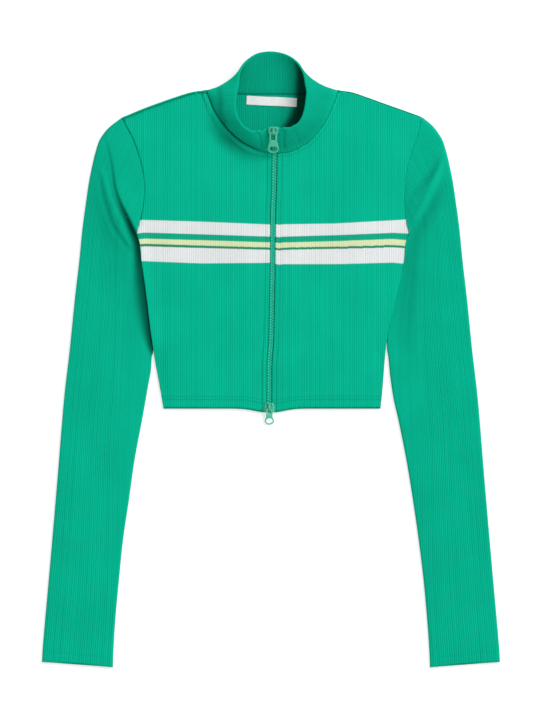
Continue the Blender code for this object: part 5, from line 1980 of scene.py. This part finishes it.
@dataclass
class Slider:
    """A slider and its pull."""

    name: str
    y: float
    z: float
    slope_deg: float
    length: float
    neck: float
    tab: float
    hole: tuple[float, float, float]  # distance from the hinge, half width and half length
    slot: float  # how far the slot reaches from the hinge
    flip: int = 1
    arm: float = 1.8
    flare: float = 0.62  # where the arms start to widen, as a share of the way to the hole
    short: float = 0.0  # what the plate lacks at its wide end
    plate: tuple[float, float, float] = (11.8, 11.0, 2.2)
    hinge: tuple[float, float] = (2.2, 2.05)  # how far back, and how high over the plate
    tilt_deg: float = 24.0
    thick: float = 1.5
    head: float = 0.6  # how far the pull reaches beyond the hinge
    slot_from: float = 0.7
    bevels: tuple[float, float, float] = (0.55, 0.6, 0.5)  # plate, bridge and its window

    def place(self) -> Matrix:
        """The slider's place, from its foot."""
        return turned(self.slope_deg, "X", Vector((float(CUT.zip_x(self.y)), self.y, self.z)))

    def body(self, material: Finish) -> Piece:
        """The plate with its two shoulders, the wedge under it and the bridge on top."""
        wide, long, high = self.plate
        end, stretch, cube = self.flip, Primitive.stretch, Primitive.cube
        made = cube("slider_" + self.name + "_body", self.plate, (0, 0, high / 2))
        Primitive.split(made, 2)
        stretch(made, lambda p: p.y * end < -long * 0.4, (0.72, 1, 1))
        stretch(made, lambda p: p.z > high * 0.9, (0.9, 0.9, 1))
        stretch(made, lambda p: p.y * end > long * 0.4, (1, 1, 1), (0, -self.short * end, 0))
        middle = (lambda p: p.y * end > long * 0.25 and abs(p.x) < wide * 0.4, (1, 1, 1))
        stretch(made, *middle, (0, 0.7 * end, 0))
        Primitive.bevel(made, self.bevels[0], 3, 25)
        for x in (-2.4, 2.4):
            for y in (2.5 - self.short / 2, -3.0):
                Primitive.cut(made, cube("pocket", (1.9, 3.0, 4.0), (x, y * end, high * 0.5)))
        Primitive.cut(made, cube("core", (6.2, 8.8, 1.1), (0, 0, 0.2)), "UNION")
        bridge = cube("bridge", (2.6, 8.4, 4.4), (0, -0.2 * end, high + 1.9))
        stretch(bridge, lambda p: p.z > high + 2, (0.86, 0.72, 1))
        stretch(bridge, lambda p: p.y * end < 0, (1.2, 1, 1))
        stretch(bridge, lambda p: p.y * end > 0, (0.85, 1, 1))
        Primitive.bevel(bridge, self.bevels[1], 3)
        Primitive.cut(made, bridge, "UNION")
        opening = cube("window", (8.0, 6.0, 3.2), (0, -0.2 * end, high + 1.62))
        Primitive.bevel(opening, self.bevels[2], 2)
        Primitive.cut(made, opening)
        Primitive.finish(made, self.place())
        dress(made, material)
        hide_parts("slider_" + self.name)
        return made

    def half_width(self, far: float) -> float:
        """Half the pull's width at a distance from the hinge."""
        widest = self.hole[0]
        if far < widest:
            share = float(smoothstep(far, self.flare * widest, widest))
            return (self.neck + share * (self.tab - self.neck)) / 2
        beyond = (far - widest) / (self.length - widest)
        return self.tab / 2 * math.sqrt(max(1.0 - beyond**2, 0.1))

    def pull(self, material: Finish) -> Piece:
        """The pull: two arms beside a slot, widening to a tab with an oval hole."""
        size = (self.neck, self.length + self.head, self.thick)
        centre = (0, (self.head - self.length) / 2, 0)
        made = Primitive.cube("pull_" + self.name + "_tab", size, centre)
        widest, half_wide, half_long = self.hole
        flare = np.linspace(self.flare * widest, widest, 6)
        rows = [*flare, *np.linspace(widest, self.length, 7)[1:]]
        with editing(made) as shape:
            for row in rows[:-1]:
                flat = {"plane_co": (0, -row * MM, 0), "plane_no": (0, 1, 0)}
                everything = shape.verts[:] + shape.edges[:] + shape.faces[:]
                bmesh.ops.bisect_plane(shape, geom=everything, dist=1e-7, **flat)
            bmesh.update_edit_mesh(made.data)
        for row in rows:
            wider = 2 * self.half_width(row) / self.neck
            Primitive.stretch(made, lambda p, y=-row: abs(p.y - y) < 0.05, (wider, 1, 1))
        bpy.ops.object.select_all(action="DESELECT")
        bpy.ops.mesh.primitive_cylinder_add(vertices=40, radius=MM, depth=6 * MM)
        hole = bpy.context.object
        hole.data.transform(Matrix.Diagonal((half_wide, half_long, 1, 1)))
        hole.data.transform(Matrix.Translation((0, -widest * MM, 0)))
        Primitive.cut(made, hole)
        size = (self.neck - 2 * self.arm, self.slot - self.slot_from, 6.0)
        centre = (0, -self.slot_from - size[1] / 2, 0)
        Primitive.cut(made, Primitive.cube("slot", size, centre))
        Primitive.bevel(made, 0.4, 3, 40)
        back, rise = self.hinge
        lean = turned(self.tilt_deg, "X", Vector((0, -back, self.plate[2] + rise)))
        Primitive.finish(made, self.place() @ lean)
        dress(made, material, "pull_" + self.name)
        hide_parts("pull_" + self.name)
        return made


SLIDERS = (
    Slider(
        "top", y=262.6, z=28.1, slope_deg=14.0, length=28.0, neck=8.6, tab=12.6,
        hole=(22.4, 4.7, 4.1), slot=10.2, flare=0.45, short=1.9,
    ),
    Slider(
        "bottom", y=-55.2, z=5.2, slope_deg=0.0, length=18.8, neck=7.3, tab=10.8,
        hole=(14.3, 3.85, 3.4), slot=4.2, flip=-1,
    ),
)  # fmt: skip


# Label and stitches


@dataclass
class Label:
    """The blank ribbon inside the back neck."""

    size: tuple[float, float, float] = (57.8, 10.2, 0.5)
    at: tuple[float, float, float] = (0.2, 296.8, 1.95)
    turn_deg: float = -2.6
    bow: float = 0.5
    wave: tuple[float, float] = (0.12, 5.0)
    stitch_inset: float = 1.0
    stitch_reach: float = 4.0
    stitch_rise: float = 0.62

    def place(self) -> Matrix:
        """The ribbon's place."""
        return turned(self.turn_deg, "Z", Vector(self.at))

    def build(self, material: Finish) -> Piece:
        """Makes the ribbon, a little bowed between its sewn ends."""
        made = Primitive.cube("label_ribbon", self.size, (0, 0, self.size[2] / 2))
        Primitive.split(made, 11)
        for vertex in made.data.vertices:
            share = vertex.co.x / MM / (self.size[0] / 2)
            vertex.co.z += self.bow * MM * (1 - share**2) ** 2
            vertex.co.y += self.wave[0] * MM * math.sin(share * self.wave[1])
        Primitive.bevel(made, 0.1, 1, 60)
        Primitive.finish(made, self.place())
        dress(made, material)
        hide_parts("label")
        return made

    def ends(self) -> list[Array]:
        """Lines of stitches across both ends."""
        lines = []
        for end in (-1, 1):
            x = end * (self.size[0] / 2 - self.stitch_inset)
            ys = np.linspace(-self.stitch_reach, self.stitch_reach, 9)
            points = [self.place() @ (Vector((x, y, self.stitch_rise)) * MM) / MM for y in ys]
            lines.append(np.array(points))
        return lines


@dataclass
class Stitches:
    """Rows of thread along lines in space."""

    name: str
    long: float = 2.3
    gap: float = 0.7
    thick: float = 0.42
    reach: float = 0.6

    def model(self) -> Piece:
        """One stitch: a short rounded thread."""
        bpy.ops.object.select_all(action="DESELECT")
        bpy.ops.mesh.primitive_uv_sphere_add(segments=8, ring_count=6, radius=0.5 * MM)
        made = bpy.context.object
        made.data.transform(Matrix.Diagonal((self.thick, self.long, self.thick, 1)))
        return made

    def build(self, lines: list[Array], material: Finish, slot: str) -> Piece:
        """Makes all rows as one piece.

        Args:
            lines: The rows' points in space.
            material: The thread's finish.
            slot: Not used.

        Returns:
            The piece.
        """
        places = []
        step = self.long + self.gap
        for line in lines:
            run = run_of(line)
            for distance in np.arange(step / 2, run[-1], step):
                at, along = between(line, run, distance, self.reach)
                across = along.cross(Vector((0, 0, 1))).normalized()
                places.append(stand(at, across, along, across.cross(along)))
        made = copies(self.name, self.model(), places)
        dress(made, material)
        return made


def front_rows(panel: FrontPanel) -> list[Array]:
    """The rows of stitches on one front: twin rows at the hem, one at neck and zip."""
    sign = panel.side.value
    lines = []
    zip_edge = CUT.zip_x(CUT.hem_y) + sign * (CUT.zip_half + 1.0)
    for row in panel.hem_rows:
        x = np.linspace(panel.seam_line[-1][0] - sign * 1.5, zip_edge, 90)
        lines.append(np.stack([x, CUT.front_hem(x, panel.side) + row], axis=1))
    for low, high in ((CUT.hem_y + 1.0, 107.0), (161.0, panel.neck_line[0][1] - 5.0)):
        y = np.linspace(low, high, 90)
        x = CUT.zip_x(y) + sign * (CUT.zip_half + panel.zip_row)
        lines.append(np.stack([x, y], axis=1))
    neck = panel.neck_line - sign * panel.neck_row * sideways(panel.neck_line)
    lines.append(neck[neck[:, 1] < panel.shoulder_line[0][1] - 3.0][5:])
    return [np.column_stack([plan, panel.upper(plan)[0] + 0.08]) for plan in lines]


# The room


@dataclass
class Studio:
    """A pale floor, soft light from the upper right, and a camera straight above."""

    pixel: float = 1.15  # millimetres of the garment for each pixel of the picture
    picture_high: int = 720
    centre: tuple[float, float] = (-1.7, -0.6)
    distance: float = 10.0
    sensor: float = 36.0
    floor_size: float = 8.0
    floor_z: float = -0.0004
    sky: float = 0.52
    key_energy: float = 322.0
    key_size: float = 4.1
    key_from: tuple[float, float, float] = (3.16, 2.47, 4.46)

    def camera(self) -> None:
        """A long lens, so that the garment is seen almost without perspective."""
        data = bpy.data.cameras.new("camera")
        data.sensor_width = self.sensor
        data.lens = self.sensor * self.distance / (self.picture_high * self.pixel * MM)
        data.clip_end = 50.0
        made = added("camera", data)
        made.location = (self.centre[0] * MM, self.centre[1] * MM, self.distance)
        bpy.context.scene.camera = made

    def floor(self) -> None:
        """The floor."""
        bpy.ops.object.select_all(action="DESELECT")
        bpy.ops.mesh.primitive_plane_add(size=self.floor_size, location=(0, 0, self.floor_z))
        made = bpy.context.object
        made.name = "floor"
        made.data.materials.append(FloorFinish().make())

    def light(self) -> None:
        """A broad key from the upper right and an even sky."""
        world = bpy.data.worlds.new("sky")
        world.use_nodes = True
        sky = world.node_tree.nodes["Background"]
        sky.inputs["Color"].default_value = (1, 1, 1, 1)
        sky.inputs["Strength"].default_value = self.sky
        bpy.context.scene.world = world
        data = bpy.data.lights.new("key", "AREA")
        data.shape = "DISK"
        data.size = self.key_size
        data.energy = self.key_energy
        key = added("key", data)
        key.location = self.key_from
        key.rotation_euler = (-Vector(self.key_from)).to_track_quat("-Z", "Y").to_euler()

    def build(self) -> None:
        """Sets up the room."""
        bpy.context.scene.view_settings.view_transform = "Standard"
        self.camera()
        self.floor()
        self.light()


GREEN: Colour = (0.0018, 0.479, 0.295)
FINISHES = {
    "front": KnitFinish("striped_knit", GREEN, striped=True),
    "plain": KnitFinish("green_knit", GREEN),
    # The collar's knit is the green knit made lighter, as painted light; the painted shade over most of
    # the collar darkens it again
    "collar": KnitFinish("collar_knit", (0.0018, 0.515, 0.318)),
    # Each hard finish's second colour lies on sharp edges: lighter on teeth, slider and pull, as painted
    # highlight
    "thread": HardFinish("green_thread", (0.003, 0.36, 0.22), (0.005, 0.4, 0.25), 0.9, gleam=0.05),
    "tape": TapeFinish(),
    "teeth": HardFinish("moulded_teeth", (0.02, 0.54, 0.355), (0.04, 0.62, 0.43), 0.45, gleam=0.3),
    "metal": HardFinish("painted_metal", (0.05, 0.45, 0.28), (0.16, 0.62, 0.43), 0.38, 0.25, 0.3),
    "pull": HardFinish("painted_pull", (0.08, 0.60, 0.38), (0.22, 0.72, 0.54), 0.36, 0.25, 0.4),
    "label": SatinFinish(),
    "white_thread": HardFinish("white_thread", (0.78, 0.78, 0.78), (0.74, 0.75, 0.75), 0.7),
}


def build_side(side: Side, knit: RibKnit, path: ZipPath, made: dict[str, Finish]) -> list[Piece]:
    """Builds one side's front, sleeve and half of the zip.

    Args:
        side: Which side.
        knit: The ribs.
        path: The zip's path.
        made: The materials.

    Returns:
        The pieces.
    """
    panel = FrontPanel(side, knit)
    front = panel.build(made["front"])
    stitches = Stitches(f"stitches_{side.word}")
    rows = stitches.build(front_rows(panel), made["thread"], "rib_knit")
    folds, cap_line = side.pick((RIGHT_FOLDS, RIGHT_CAP_LINE), (LEFT_FOLDS, LEFT_CAP_LINE))
    sleeve = Sleeve(side, knit, folds, cap_line).build(made["plain"])
    half = ZipHalf(side, path)
    tape = half.tape(made["tape"])
    return [front, rows, sleeve, tape, half.teeth(made["teeth"], path.run[-1] - 3.0)]


def main() -> None:
    """Builds the jacket and its room."""
    logging.basicConfig(level=logging.INFO, format="%(name)s %(message)s", stream=sys.stdout)
    Studio().build()
    made = {key: finish.make() for key, finish in FINISHES.items()}
    knit = RibKnit()
    collar = Collar(knit)
    path = ZipPath(collar)
    pieces = []
    for side in Side:
        pieces += build_side(side, knit, path, made)
    back = BackPanel(knit).build(made["plain"])
    neck = collar.build(made["collar"])
    pieces += [back, neck]
    for slider in SLIDERS:
        pieces += [slider.body(made["metal"]), slider.pull(made["pull"])]
    label = Label()
    ribbon = label.build(made["label"])
    stitches = Stitches("label_stitches", long=0.9, gap=0.35, thick=0.3)
    sewn = stitches.build(label.ends(), made["white_thread"], "label_satin")
    for piece in [*pieces, ribbon, sewn]:
        log.info("%s: %d faces", piece.name, len(piece.data.polygons))


if __name__ == "__main__":
    main()
